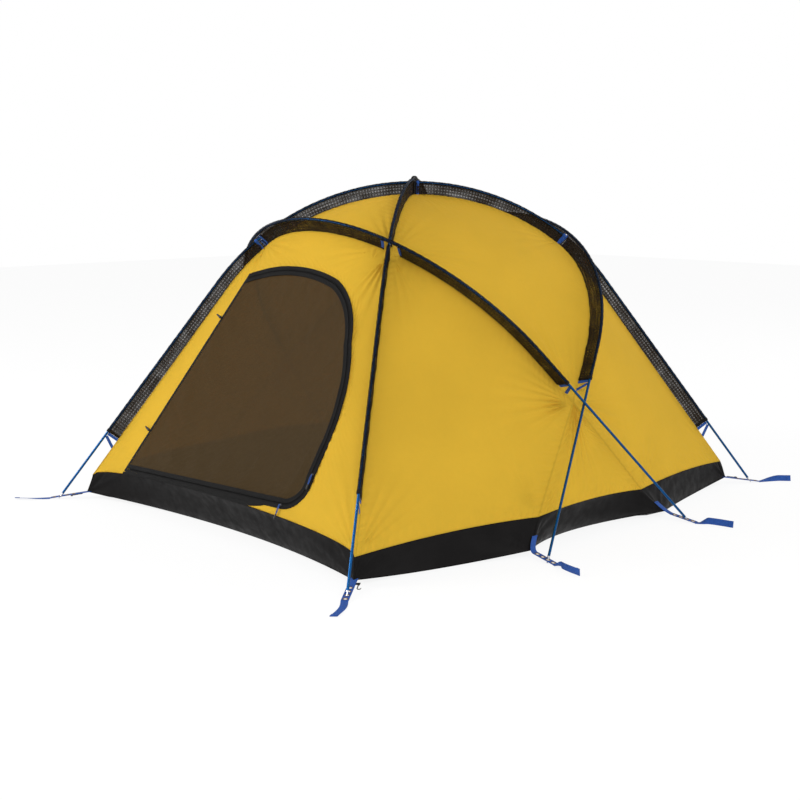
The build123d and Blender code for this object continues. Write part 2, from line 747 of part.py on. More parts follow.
def floor_edge(start, end, bow):
    """The folded edge of the floor between two corners: it bows in and sags to the ground."""
    start, end = Vector(*start), Vector(*end)
    middle = (start + end) / 2
    inwards = Vector(-middle.X, -middle.Y, 0)
    along = end - start
    inwards = (inwards - along * (inwards.dot(along) / along.dot(along))).normalized()
    points = []
    for share in samples(0, 1, PANEL_STEPS):
        sag = 4 * share * (1 - share)
        point = blend(start, end, share)
        height = point.Z + (EDGE_LIFT - point.Z) * sag
        flat = point + inwards * bow * sag
        points.append(Vector(flat.X, flat.Y, height))
    return points


def corner(point, sign_x, sign_y):
    return (sign_x * point[0], sign_y * point[1], point[2])


FLOOR_EDGES = {
    "front": floor_edge(corner(FLOOR_CORNER, -1, -1), corner(FLOOR_CORNER, 1, -1), EDGE_BOW_END),
    "corner": floor_edge(corner(FLOOR_CORNER, 1, -1), corner(FLOOR_SIDE_CORNER, 1, -1),
                         EDGE_BOW_SIDE),
    "middle": floor_edge(corner(FLOOR_SIDE_CORNER, 1, -1), corner(FLOOR_SIDE_CORNER, 1, 1),
                         EDGE_BOW_MIDDLE),
}


def band(name, top):
    """One panel of the black band, from the floor's edge up to the canopy."""
    rows = []
    for share in BAND_ROWS:
        row = [blend(low, high, share) for low, high in zip(FLOOR_EDGES[name], top)]
        row[0] += (row[1] - row[0]).normalized() * PANEL_GAP
        row[-1] += (row[-2] - row[-1]).normalized() * PANEL_GAP
        rows.append(row)
    return sheet(rows, FABRIC)


def floor_band():
    left_corner = flipped(BAND_CORNER, flip_x=True)
    rear_side = flipped(BAND_SIDE, flip_y=True)
    end_panel = band("front", band_top(left_corner, BAND_CORNER, END_ARCH, END_ARCH_FULLNESS))
    corner_panel = band("corner", band_top(BAND_CORNER, BAND_SIDE, SIDE_ARCH))
    middle_panel = band("middle", band_top(BAND_SIDE, rear_side, SIDE_ARCH))
    panels = [end_panel, *half_turned([end_panel])]
    panels += [middle_panel, *half_turned([middle_panel])]
    for flip_x in (False, True):
        for flip_y in (False, True):
            panels += mirrored([corner_panel], flip_x, flip_y)
    return panels


def groundsheet():
    """The flat part of the floor, which rests on the ground."""
    half = PANEL_STEPS // 2
    quarter = (FLOOR_EDGES["front"][half:-1] + FLOOR_EDGES["corner"][1:-1]
               + FLOOR_EDGES["middle"][1:half + 1])
    outline = []
    for point in quarter:
        inset = point * (1 - GROUNDSHEET_INSET / point.length)
        outline.append(Vector(inset.X, inset.Y, 0))
    rear_right = [flipped(point, flip_y=True) for point in reversed(outline[:-1])]
    right = outline + rear_right
    left = [flipped(point, flip_x=True) for point in reversed(right[1:-1])]
    return extrude(Face(Wire.make_polygon(right + left, close=True)), amount=GROUNDSHEET,
                   dir=(0, 0, 1))


# ---------------------------------------------------------------- straps at the pole feet

class Foot:
    """A webbing strap from a floor corner out to a pole's tip, and its free tail."""

    def __init__(self, arch, side, floor_corner, tail_turn):
        start = Vector(*floor_corner)
        tip = arch.point(side * arch.run_at_height(STRAP_TIP_HEIGHT))
        self.out = (tip - start).normalized()
        self.start = start + self.out * STRAP_START_GAP
        self.tip = tip
        across = Vector(0, 0, 1).cross(self.out).normalized()
        self.plane = Plane(origin=tip, x_dir=self.out, z_dir=self.out.cross(across))
        self.reach = (tip - self.start).length
        level = Vector(self.out.X, self.out.Y, 0).normalized()
        end = tip + self.out * STRAP_PAST_TIP
        tail_direction = level.rotate(Axis.Z, tail_turn)
        self.tail = Plane(origin=(end.X, end.Y, 0), x_dir=tail_direction, z_dir=(0, 0, 1))
        self.tail = self.tail.offset(TAIL_GAP)

    def eyelet_places(self):
        """Runs along the strap; the pole's tip stands in the second eyelet from outside."""
        return [(1 - index) * EYELET_SPACING for index in range(EYELETS_PER_STRAP)]

    def webbing(self):
        length = self.reach + STRAP_PAST_TIP
        flat = Pos((STRAP_PAST_TIP - self.reach) / 2, 0) * Rectangle(length, WEBBING_WIDTH)
        for place in self.eyelet_places():
            flat -= Pos(place, 0) * Circle(EYELET_RADIUS + FABRIC / 2)
        return self.plane * extrude(flat, amount=WEBBING / 2, both=True)

    def eyelets(self):
        ring = Circle(EYELET_RADIUS) - Circle(EYELET_HOLE)
        return [self.plane * (Pos(place, 0) * extrude(ring, amount=EYELET_THICKNESS / 2, both=True))
                for place in self.eyelet_places()]

    def tail_strip(self):
        half = WEBBING_WIDTH / 2
        clear = half * math.tan(math.radians(TAIL_SPREAD)) + TAIL_GAP
        strip = Pos((clear + TAIL_LENGTH - half) / 2, 0) * Rectangle(
            TAIL_LENGTH - half - clear, WEBBING_WIDTH)
        strip += Pos(TAIL_LENGTH - half, 0) * Circle(half)
        return self.tail * extrude(strip, amount=WEBBING)

    def tab(self):
        """A webbing tab beside the strap that carries a flysheet hook."""
        start = WEBBING_WIDTH / 2 + STITCH_GAP
        end = HOOK_OFFSET + TAPE_WIDTH / 2
        flat = Pos(HOOK_TAB_PLACE, (start + end) / 2) * Rectangle(TAPE_WIDTH, end - start)
        return self.plane * extrude(flat, amount=WEBBING / 2, both=True)

    def hook_pivot(self):
        return self.plane.from_local_coords(
            Vector(HOOK_TAB_PLACE + TAPE_WIDTH / 2 + 2 * HOOK_WIRE_RADIUS, HOOK_OFFSET, 0))

    def hook(self):
        """A flat J of round section, lying beside the strap."""
        start = self.plane.to_local_coords(self.hook_pivot())
        bend = HOOK_BEND_RADIUS
        straight_end = Vector(start.X + HOOK_LENGTH, start.Y)
        far = Vector(straight_end.X + bend, start.Y + bend)
        back = Vector(straight_end.X, start.Y + 2 * bend)
        shank = Line((start.X, start.Y), (straight_end.X, straight_end.Y))
        turn = ThreePointArc((straight_end.X, straight_end.Y), (far.X, far.Y), (back.X, back.Y))
        path = self.plane * Wire([shank, turn])
        return sweep(Plane(origin=path @ 0, z_dir=path % 0) * Circle(HOOK_WIRE_RADIUS), path=path)


def all_feet():
    feet = {}
    for end_name, end in (("front", -1), ("rear", 1)):
        for side_name, side in (("left", -1), ("right", 1)):
            name = f"{end_name}_{side_name}"
            arch = UPPER_POLE if side * end < 0 else LOWER_POLE
            feet[f"corner_{name}"] = Foot(arch, side, corner(FLOOR_CORNER, side, end), 0)
            hoop = REAR_HOOP if end < 0 else FRONT_HOOP
            turn = TAIL_SPREAD * side * end
            feet[f"side_{name}"] = Foot(hoop, side, corner(FLOOR_SIDE_CORNER, side, end), turn)
    return feet


# ---------------------------------------------------------------- the nodes

def write_canopy():
    front, roof, side, gusset = front_end_panel(), right_roof(), front_right_side(), right_gusset()
    top = front_roof()
    rear_side = mirrored([side], False, True)
    write("front_end_panel", [front])
    write("rear_end_panel", half_turned([front]))
    write("front_roof_panel", [top])
    write("rear_roof_panel", half_turned([top]))
    write("right_roof_panel", [roof])
    write("left_roof_panel", half_turned([roof]))
    write("right_side_panels", [side, gusset, *rear_side])
    write("left_side_panels", half_turned([side, gusset, *rear_side]))


def write_doors():
    for end, turn in (("front", 0), ("rear", 180)):
        place = Rot(0, 0, turn)
        write(f"{end}_body_zip_tape", [place * body_zip_tape()])
        write(f"{end}_door_zip_tape", [place * door_zip_tape()])
        write(f"{end}_door_mesh", [place * door_mesh()])
        for name, frame in (("side", SIDE_ZIP), ("foot", FOOT_ZIP)):
            write(f"{end}_{name}_zip_slider", [place * zip_slider(frame)])
            write(f"{end}_{name}_zip_pull", [place * zip_pull(frame)])
        for name, share in zip(("lower", "upper"), TOGGLE_RUNS):
            write(f"{end}_{name}_toggle", [place * toggle(share)])


def write_poles():
    for name, arch in POLES.items():
        write(name, pole_sections(arch))
    write("pole_ferrules", [piece for arch in POLES.values() for piece in ferrules(arch)])
    write("pole_shock_cords", [shock_cord(arch) for arch in POLES.values()])
    write("pole_tips", [tip for arch in POLES.values() for tip in pole_tips(arch)])


def write_sleeves():
    for name, pieces in all_sleeves().items():
        write(name, pieces)
    tapes = [tape for arch in (UPPER_POLE, LOWER_POLE) for tape in tape_vee(arch, LONG_END)]
    tapes += [tape for arch in (FRONT_HOOP, REAR_HOOP) for tape in tape_vee(arch, HOOP_END)]
    write("sleeve_end_tapes", tapes)


def write_feet():
    feet = all_feet()
    write("foot_straps", [foot.webbing() for foot in feet.values()])
    write("strap_eyelets", [ring for foot in feet.values() for ring in foot.eyelets()])
    corners = {name: foot for name, foot in feet.items() if name.startswith("corner")}
    write("hook_tabs", [foot.tab() for foot in corners.values()])
    for name, foot in feet.items():
        write(f"{name}_strap_tail", [foot.tail_strip()])
    for name, foot in corners.items():
        write(f"{name.replace('corner_', '')}_flysheet_hook", [foot.hook()])


os.makedirs("parts", exist_ok=True)
write_canopy()
write_doors()
write_poles()
write_sleeves()
write("floor_band", floor_band())
write("groundsheet", [groundsheet()])
write_feet()
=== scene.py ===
import json
import math

import bpy
import numpy as np
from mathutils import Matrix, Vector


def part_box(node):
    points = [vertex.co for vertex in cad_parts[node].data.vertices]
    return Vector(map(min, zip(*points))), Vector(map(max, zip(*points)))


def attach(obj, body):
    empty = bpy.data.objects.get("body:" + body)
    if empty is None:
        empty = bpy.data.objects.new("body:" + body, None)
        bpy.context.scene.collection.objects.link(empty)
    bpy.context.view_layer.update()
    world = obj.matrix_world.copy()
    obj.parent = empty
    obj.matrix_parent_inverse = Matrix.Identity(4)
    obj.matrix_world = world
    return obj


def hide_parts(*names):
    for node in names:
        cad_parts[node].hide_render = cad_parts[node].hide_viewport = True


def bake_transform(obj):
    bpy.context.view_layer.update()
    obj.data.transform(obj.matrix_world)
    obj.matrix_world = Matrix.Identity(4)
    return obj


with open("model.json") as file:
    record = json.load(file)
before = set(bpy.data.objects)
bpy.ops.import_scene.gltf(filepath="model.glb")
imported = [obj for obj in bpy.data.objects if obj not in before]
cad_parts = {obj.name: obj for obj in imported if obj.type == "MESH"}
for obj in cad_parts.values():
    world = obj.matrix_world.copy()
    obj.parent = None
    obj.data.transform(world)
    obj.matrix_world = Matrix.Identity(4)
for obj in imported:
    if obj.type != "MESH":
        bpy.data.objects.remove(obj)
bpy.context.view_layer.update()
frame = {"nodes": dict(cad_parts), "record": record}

# Looks of a pitched geodesic inner tent, in metres, in the CAD model's own frame: the origin is on
# the ground at the middle of the floor, the front door faces -Y, and +X is the right-hand side.
# The rear end is the front end turned half a turn about Z.

# ---------------------------------------------------------------- driving sizes, as in the CAD

UP = np.array([0.0, 0.0, 1.0])
HALF_TURN = np.array([-1.0, -1.0, 1.0])
POLE_RADIUS = 0.0048
HALF_SPACING = 0.0065                       # half the distance between two crossing poles
LONG_TIP = (0.893, 1.154)
LONG_RADIUS = 0.995
LONG_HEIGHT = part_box("long_pole_upper")[1].z - POLE_RADIUS - HALF_SPACING
HOOP_TIP = (1.080, 0.408)
HOOP_HEIGHT = 1.500
HOOP_RADIUS = 0.858
HOOP_LEAN = math.radians(49.4)
FIN_DEPTH = 0.054
LONG_SLEEVE_END = 0.280
HOOP_SLEEVE_END = 0.560

FLOOR_CORNER = (0.824, 1.064, 0.025)
FLOOR_SIDE = (0.986, 0.391, 0.024)
BAND_TOP_CORNER = 0.095
BAND_TOP_SIDE = (0.940, 0.300, 0.118)
BAND_ARCH_END = 0.062
BAND_ARCH_SIDE = 0.015
EDGE_BOW_END = 0.134
EDGE_BOW_SIDE = 0.040
EDGE_BOW_MIDDLE = 0.122
EDGE_LIFT = 0.0012

DOOR_LEAN = math.radians(62.5)
HINGE_FOOT = (-0.592, 0.050)
HINGE_HEAD = (-0.280, 0.930)
DOOR_TOP = (-0.020, 0.972)
DOOR_SHOULDER_START = (0.235, 0.932)
DOOR_SHOULDER = (0.345, 0.852)
DOOR_SHOULDER_END = (0.425, 0.705)
DOOR_SIDE = (0.482, 0.555)
DOOR_SIDE_TOP = (0.500, 0.400)
DOOR_SIDE_FOOT = (0.487, 0.212)
DOOR_TOE = (0.460, 0.124)
DOOR_TOE_END = (0.390, 0.086)
ZIP_TAPE = 0.014

WEBBING_WIDTH = 0.025
WEBBING = 0.0016
STRAP_TIP_HEIGHT = 0.010
EYELET_SPACING = 0.026
EYELET_RADIUS = 0.0085
EYELET_HOLE = 0.0055
TAIL_LENGTH = 0.140

STEPS = 104           # grid steps along a side of a canopy panel
CROWDING = 0.4                              # how much closer those steps lie near the corners
ARC_STEPS = 40                              # steps round an arc of the door's outline
HALVINGS = 50                               # how often a range is halved while a place is sought

JOINTS = {joint["name"]: joint for joint in frame["record"]["behaviour"]["joints"]}


# ---------------------------------------------------------------- points and curves

def unit(vectors):
    vectors = np.asarray(vectors, float)
    return vectors / np.linalg.norm(vectors, axis=-1, keepdims=True)


def bisect(function, low, high):
    rising = function(high) > function(low)
    for _ in range(HALVINGS):
        middle = (low + high) / 2
        if (function(middle) > 0) == rising:
            high = middle
        else:
            low = middle
    return (low + high) / 2


class Arch:
    """A bent pole: a round stretch over the top and a straight leg on each side.

    A place is a run along the pole from its top, an inset towards the inside of the bend and a
    shift out of the pole's own plane."""

    def __init__(self, origin, across, up, half_span, height, radius):
        self.origin, self.across, self.up = np.array(origin), np.array(across), np.array(up)
        self.normal = np.cross(across, up)
        self.radius = radius
        self.centre = height - radius
        reach = math.hypot(half_span, self.centre)
        turn = math.pi / 2 - math.acos(radius / reach) + math.atan2(self.centre, half_span)
        self.arc = radius * turn
        knee = radius * math.sin(turn)
        self.length = self.arc + math.hypot(half_span - knee,
                                            self.centre + radius * math.cos(turn))

    def points(self, run, inset=0.0, shift=0.0):
        run, inset, shift = np.broadcast_arrays(run, inset, shift)
        turned = np.minimum(np.abs(run), self.arc)
        angle = turned / self.radius
        straight = np.abs(run) - turned
        reach = self.radius - inset
        side = np.where(run < 0, -1.0, 1.0)
        x = side * (reach * np.sin(angle) + straight * np.cos(angle))
        y = self.centre + reach * np.cos(angle) - straight * np.sin(angle)
        return (self.origin + x[..., None] * self.across + y[..., None] * self.up
                + shift[..., None] * self.normal)

    def run_at_height(self, height, inset=0.0):
        return bisect(lambda run: height - self.points(run, inset)[2], 0.0, self.length)

    def run_at_plane(self, other, low, high, inset=0.0):
        """Run where the arch passes through another arch's plane."""
        return bisect(lambda run: (self.points(run, inset) - other.origin) @ other.normal,
                      low, high)


def long_arch(side, lift=0.0):
    """A diagonal pole; its positive leg stands at +X and, for side = -1, at the front."""
    span = math.hypot(*LONG_TIP)
    across = (LONG_TIP[0] / span, side * LONG_TIP[1] / span, 0.0)
    return Arch((0, 0, 0), across, UP, span, LONG_HEIGHT + lift, LONG_RADIUS)


def hoop_arch(end, shift=0.0):
    """The hoop over the front door (end = -1) or the rear door (end = 1)."""
    up = (0.0, end * math.cos(HOOP_LEAN), math.sin(HOOP_LEAN))
    return Arch((shift, -end * HOOP_TIP[1], 0), (1.0, 0.0, 0.0), up,
                HOOP_TIP[0], HOOP_HEIGHT, HOOP_RADIUS)


UPPER_POLE = long_arch(-1, HALF_SPACING)
LOWER_POLE = long_arch(1, -HALF_SPACING)
FRONT_HOOP = hoop_arch(-1, HALF_SPACING)
REAR_HOOP = hoop_arch(1, -HALF_SPACING)
SEAM_LONG = long_arch(-1)
SEAM_HOOP = hoop_arch(-1)
SIDE_PLANE = Arch((0, 0, 0), (1.0, 0.0, 0.0), UP, 1.0, 1.0, 0.5)      # the plane y = 0

LONG_CROSSING = SEAM_LONG.run_at_plane(SEAM_HOOP, 0.3, 1.0)
HOOP_CROSSING = SEAM_HOOP.run_at_plane(SEAM_LONG, 0.2, 0.8)
LONG_SEAM_CROSSING = SEAM_LONG.run_at_plane(SEAM_HOOP, 0.3, 1.0, FIN_DEPTH)
HOOP_SEAM_CROSSING = SEAM_HOOP.run_at_plane(SEAM_LONG, 0.2, 0.8, FIN_DEPTH)
HOOPS_MEETING = SEAM_HOOP.run_at_plane(SIDE_PLANE, 0.7, 1.9, FIN_DEPTH)
BAND_CORNER_RUN = SEAM_LONG.run_at_height(BAND_TOP_CORNER, FIN_DEPTH)
LONG_END = SEAM_LONG.run_at_height(LONG_SLEEVE_END)
HOOP_END = SEAM_HOOP.run_at_height(HOOP_SLEEVE_END)

CROWN = SEAM_LONG.points(0.0, FIN_DEPTH)
CROSSING = (SEAM_LONG.points(LONG_SEAM_CROSSING, FIN_DEPTH)
            + SEAM_HOOP.points(HOOP_SEAM_CROSSING, FIN_DEPTH)) / 2
WAIST = SEAM_HOOP.points(HOOPS_MEETING, FIN_DEPTH)
BAND_CORNER = SEAM_LONG.points(BAND_CORNER_RUN, FIN_DEPTH)
BAND_SIDE = np.array([BAND_TOP_SIDE[0], -BAND_TOP_SIDE[1], BAND_TOP_SIDE[2]])
DOOR_UP = np.array([0.0, math.cos(DOOR_LEAN), math.sin(DOOR_LEAN)])
DOOR_OUT = np.array([0.0, -math.sin(DOOR_LEAN), math.cos(DOOR_LEAN)])
END_ARCH = BAND_ARCH_END * DOOR_UP
SIDE_ARCH = BAND_ARCH_SIDE * UP
END_FULLNESS = 0.5                          # below 1, the arch under a door is fuller
FLIP_X = np.array([-1.0, 1.0, 1.0])
FLIP_Y = np.array([1.0, -1.0, 1.0])


def shares(steps):
    """Shares of an edge from 0 to 1, closer together near both ends."""
    even = np.linspace(0, 1, steps + 1)
    return even - CROWDING * np.sin(2 * math.pi * even) / (2 * math.pi)


def line(start, end, steps=STEPS):
    start, end = np.array(start), np.array(end)
    return start + (end - start) * shares(steps)[:, None]


def bow(share):
    """Rises from 0 at both ends of an edge to 1 at its middle."""
    return 4 * share * (1 - share)


def band_top(start, end, rise, fullness=1.0):
    """The seam between band and canopy, which arches up between two corners."""
    share = shares(STEPS)[:, None]
    return start + (end - start) * share + rise * bow(share) ** fullness


def seam(arch, first, last, start, end):
    """Points along a seam, eased so that its ends meet the given corners."""
    share = shares(STEPS)[:, None]
    points = arch.points(first + (last - first) * share[:, 0], FIN_DEPTH)
    return points + (start - points[0]) * (1 - share) + (end - points[-1]) * share


def arc(start, middle, end):
    """Points on the circle through three flat points."""
    a, b, c = (complex(*point) for point in (start, middle, end))
    w = (c - a) / (b - a)
    centre = (b - a) * (w - abs(w) ** 2) / (2j * w.imag) + a
    sweep_angle = np.angle((c - centre) / (b - centre)) + np.angle((b - centre) / (a - centre))
    turned = centre + (a - centre) * np.exp(1j * np.linspace(0, sweep_angle, ARC_STEPS + 1))
    return np.stack([turned.real, turned.imag], -1)


def cumulative(grid, axis):
    """Distance travelled along an axis of a grid of points."""
    steps = np.linalg.norm(np.diff(grid, axis=axis), axis=-1)
    start = np.zeros_like(np.take(steps, [0], axis=axis))
    return np.cumsum(np.concatenate([start, steps], axis=axis), axis=axis)


def resampled(points, steps):
    """The same line with evenly spaced points."""
    points = np.asarray(points, float)
    lengths = cumulative(points, 0)
    places = np.linspace(0, lengths[-1], steps + 1)
    return np.stack([np.interp(places, lengths, values) for values in points.T], -1)


def round_angles(count):
    return np.linspace(0, 2 * math.pi, count + 1)[:-1]


def joined(*lines):
    return np.concatenate([*(part[:-1] for part in lines[:-1]), lines[-1]])


# ---------------------------------------------------------------- meshes

class Surface:
    """Collects grids of points and makes them one mesh object, with UVs in metres."""

    def __init__(self):
        self.points, self.faces, self.uvs, self.slots = [], [], [], []
        self.count = 0

    def grid(self, grid, slot=0, closed=False, looped=False, capped=False):
        """Rows of points. Closed joins each row's end to its start, looped the last row to the
        first, and capped fills the first and last rows."""
        grid = np.asarray(grid, float)
        rows, columns = grid.shape[:2]
        i, j = np.meshgrid(np.arange(rows if looped else rows - 1),
                           np.arange(columns if closed else columns - 1), indexing="ij")
        corners = [(i, j), (i, j + 1), (i + 1, j + 1), (i + 1, j)]
        index = [self.count + (a % rows) * columns + b % columns for a, b in corners]
        faces = np.stack(index, -1).reshape(-1, 4)
        u = cumulative(np.concatenate([grid, grid[:, :1]], axis=1), 1).mean(0)
        v = cumulative(np.concatenate([grid, grid[:1]], axis=0), 0).mean(1)
        uv = np.stack([np.stack([u[b], v[a]], -1) for a, b in corners], -2)
        self.points.append(grid.reshape(-1, 3))
        self.faces += faces.tolist()
        self.uvs += uv.reshape(-1, 2).tolist()
        self.slots += [slot] * len(faces)
        if capped:
            first = self.count + np.arange(columns)[::-1]
            last = self.count + (rows - 1) * columns + np.arange(columns)
            self.faces += [first.tolist(), last.tolist()]
            self.uvs += [[u[b], 0.0] for b in range(columns)] * 2
            self.slots += [slot] * 2
        self.count += rows * columns

    def make(self, name, materials, thickness=0.0, crease=40.0):
        mesh = bpy.data.meshes.new(name)
        mesh.from_pydata(np.concatenate(self.points).tolist(), [], self.faces)
        mesh.polygons.foreach_set("material_index", self.slots)
        layer = mesh.uv_layers.new(name="cloth")
        layer.data.foreach_set("uv", np.array(self.uvs, np.float32).ravel())
        for material in materials:
            mesh.materials.append(material)
        mesh.shade_smooth()
        mesh.set_sharp_from_angle(angle=math.radians(crease))
        piece = bpy.data.objects.new(name, mesh)
        bpy.context.collection.objects.link(piece)
        if thickness:
            solid = piece.modifiers.new("cloth thickness", "SOLIDIFY")
            solid.thickness = thickness
            solid.offset = -1
        return piece

    def stand_in(self, name, materials, node, body, slot, **options):
        """Makes the object, puts it in a CAD node's place and on a body; the slot argument is not
        used.
        """
        piece = self.make(name, materials, **options)
        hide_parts(node)
        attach(piece, body)

    def strip(self, centres, across, out, width, thickness, slot=0):
        """A woven strip that follows a line of centres."""
        self.grid(sweep(centres, across, out, strip_profile(width, thickness)), slot,
                  closed=True, capped=True)


def sweep(centres, xs, ys, profile):
    """A flat profile of (x, y) points carried along centres."""
    profile = np.asarray(profile, float)
    xs, ys = np.broadcast_to(xs, centres.shape), np.broadcast_to(ys, centres.shape)
    return (centres[:, None] + profile[None, :, :1] * xs[:, None]
            + profile[None, :, 1:] * ys[:, None])


def strip_profile(width, thickness):
    """A woven strip's section, with slightly rounded edges."""
    x, y = width / 2, thickness / 2
    side = [(x - y, -y), (x - y / 3, -y * 0.6), (x, 0), (x - y / 3, y * 0.6), (x - y, y)]
    back = [(-a, -b) for a, b in side]
    return side + [(0, y)] + back + [(0, -y)]


def rod(surface, path, radius, count=10):
    """A round bar or cord along a path; the radius may change along it."""
    path = np.asarray(path, float)
    tangents = unit(np.gradient(path, axis=0))
    side = unit(np.cross(tangents, UP + 0.3 * tangents[0][[1, 2, 0]]))
    over = np.cross(tangents, side)
    radii = np.broadcast_to(radius, len(path))[:, None]
    angles = round_angles(count)
    profile = np.stack([np.cos(angles), np.sin(angles)], -1)
    surface.grid(sweep(path, side * radii, over * radii, profile), closed=True, capped=True)


def lathe(surface, origin, axis, profile, slot=0, count=24, closed_profile=False):
    """Turns (radius, height) points about an axis."""
    axis = unit(axis)
    side = unit(np.cross(axis, UP + np.array([0.3, 0.1, 0.0])))
    other = np.cross(axis, side)
    angles = round_angles(count)
    ring = np.cos(angles)[:, None] * side + np.sin(angles)[:, None] * other
    rows = [origin + radius * ring + height * axis for radius, height in profile]
    surface.grid(np.array(rows), slot, closed=True, looped=closed_profile,
                 capped=not closed_profile)


STITCH_PITCH = 0.0042
STITCH_WIDTH = 0.0009
BAR_TACK_WIDTH = 0.0013          # the heavier thread across a strap
OVERSHOOT = 1.3                  # how much longer a thread is than half the pitch


def stitches(surface, path, normal, slot, width=STITCH_WIDTH):
    """A row of short raised threads along a path."""
    path = np.asarray(path, float)
    length = np.linalg.norm(np.diff(path, axis=0), axis=1).sum()
    places = resampled(path, max(2, 2 * int(length / STITCH_PITCH)))
    normals = resampled(np.broadcast_to(normal, path.shape), len(places) - 1)
    for k in range(0, len(places) - 1, 2):
        start, end = places[k], places[k] + (places[k + 1] - places[k]) * OVERSHOOT
        along, up = unit(end - start), unit(normals[k])
        side = np.cross(up, along) * width / 2
        middle = (start + end) / 2
        low = [start, middle + side, end, middle - side]
        surface.grid(np.array([low, [middle + up * width * 0.6] * 4]), slot, closed=True)


# ---------------------------------------------------------------- procedural materials

class Shader:
    """A material's node tree, built up by short calls."""

    def __init__(self, name, colour, roughness, metallic=0.0, gloss=0.5):
        self.material = bpy.data.materials.new(name)
        self.material.use_nodes = True
        self.tree = self.material.node_tree
        self.surface = self.tree.nodes["Principled BSDF"]
        self.output = self.tree.nodes["Material Output"]
        self.set(Base_Color=(*colour, 1.0), Roughness=roughness, Metallic=metallic,
                 Specular_IOR_Level=gloss)

    def set(self, **values):
        for key, value in values.items():
            self.surface.inputs[key.replace("_", " ")].default_value = value

    def node(self, kind, links=(), **settings):
        node = self.tree.nodes.new("ShaderNode" + kind)
        for key, value in settings.items():
            setattr(node, key, value)
        for socket, source in dict(links).items():
            self.feed(node, socket, source)
        return node

    def feed(self, node, socket, source):
        target = node.inputs[socket]
        if isinstance(source, (int, float, tuple)):
            target.default_value = source
        else:
            self.tree.links.new(source, target)

    def place(self, kind="Object", scale=(1.0, 1.0, 1.0)):
        """Coordinates in metres: the object's own, or the cloth's UV."""
        source = self.node("TexCoord").outputs[kind]
        return self.node("Mapping", {"Vector": source, "Scale": tuple(scale)}).outputs["Vector"]

    def noise(self, scale, detail=3.0, place=None):
        place = place or self.place()
        node = self.node("TexNoise", {"Vector": place, "Scale": float(scale), "Detail": detail})
        return node.outputs["Fac"]

    def wave(self, period, axis="X", distortion=0.0):
        """Bands of a period in metres on the cloth's UV; 0 to 1."""
        node = self.node("TexWave", {"Vector": self.place("UV"), "Scale": math.pi / 10 / period,
                                     "Distortion": distortion}, bands_direction=axis)
        return node.outputs["Fac"]

    def maths(self, operation, first, second):
        node = self.node("Math", operation=operation)
        self.feed(node, 0, first)
        self.feed(node, 1, second)
        return node.outputs[0]

    def ramp(self, value, low, high, out_low=0.0, out_high=1.0):
        node = self.node("MapRange", {"Value": value, "From Min": low, "From Max": high,
                                      "To Min": out_low, "To Max": out_high})
        return node.outputs["Result"]

    def tint(self, factor, colour):
        """Mixes another colour over the base colour."""
        base = self.surface.inputs["Base Color"]
        source = base.links[0].from_socket if base.links else tuple(base.default_value)
        mix = self.node("Mix", data_type="RGBA")
        self.feed(mix, 0, factor)
        self.feed(mix, 6, source)
        self.feed(mix, 7, (*colour, 1.0))
        self.tree.links.new(mix.outputs[2], base)

    def mottle(self, colour, amount, scale, detail=3.0, low=0.4, high=0.7):
        """Tints soft patches; between low and high the noise fades the tint in."""
        self.tint(self.ramp(self.noise(scale, detail), low, high, 0.0, amount), colour)

    def roughness(self, low, high, scale, detail=3.0):
        noise = self.noise(scale, detail)
        self.feed(self.surface, "Roughness", self.ramp(noise, 0.3, 0.7, low, high))

    def bump(self, height, distance, strength=1.0):
        """Adds a bump on top of those already there."""
        normal = self.surface.inputs["Normal"]
        previous = normal.links[0].from_socket if normal.links else None
        node = self.node("Bump", {"Height": height, "Distance": distance, "Strength": strength})
        if previous:
            self.tree.links.new(previous, node.inputs["Normal"])
        self.tree.links.new(node.outputs["Normal"], normal)

    def grain(self, scale, distance, strength, detail=3.0):
        self.bump(self.noise(scale, detail), distance, strength)

    def mixed_with(self, kind, factor, colour):
        """Mixes the surface with a plain shader, such as a translucent or transparent one."""
        other = self.node(kind, {"Color": (*colour, 1.0)})
        mix = self.node("MixShader")
        self.feed(mix, 0, factor)
        self.tree.links.new(self.surface.outputs[0], mix.inputs[1])
        self.tree.links.new(other.outputs[0], mix.inputs[2])
        self.tree.links.new(mix.outputs[0], self.output.inputs["Surface"])


def shade(colour, share, lift=0.0):
    return tuple(channel * share + lift for channel in colour)


RIPSTOP_PITCH = 0.005            # between the weave's heavier threads
SEAM_STITCH_PITCH = 0.004


def ripstop(name, colour, glow, stitched=False):
    """Light coated nylon: a fine weave, a grid of heavier threads, and light through it."""
    shader = Shader(name, colour, 0.65, gloss=0.02)
    shader.set(Sheen_Weight=0.02, Sheen_Roughness=0.4)
    shader.mottle(shade(colour, 0.82), amount=0.35, scale=5.0, low=0.35)
    shader.mottle(shade(colour, 0.7), amount=0.12, scale=60.0, detail=4.0, low=0.3, high=0.8)
    grid = shader.maths("MAXIMUM", shader.wave(RIPSTOP_PITCH), shader.wave(RIPSTOP_PITCH, "Y"))
    thread = shader.ramp(grid, 0.9, 1.0)
    shader.tint(shader.maths("MULTIPLY", thread, 0.18), shade(colour, 0.6))
    shader.bump(thread, 0.0003, 0.5)
    shader.grain(scale=900.0, distance=0.0002, strength=0.4, detail=2.0)
    shader.grain(scale=14.0, distance=0.004, strength=0.35, detail=5.0)
    shader.roughness(0.58, 0.72, scale=25.0)
    if stitched:
        stitch = shader.ramp(shader.wave(SEAM_STITCH_PITCH), 0.4, 0.6)
        shader.bump(stitch, 0.0005, 0.8)
        shader.tint(shader.maths("MULTIPLY", stitch, 0.15), shade(colour, 0.45))
    shader.mixed_with("BsdfTranslucent", 0.42, glow)
    return shader.material


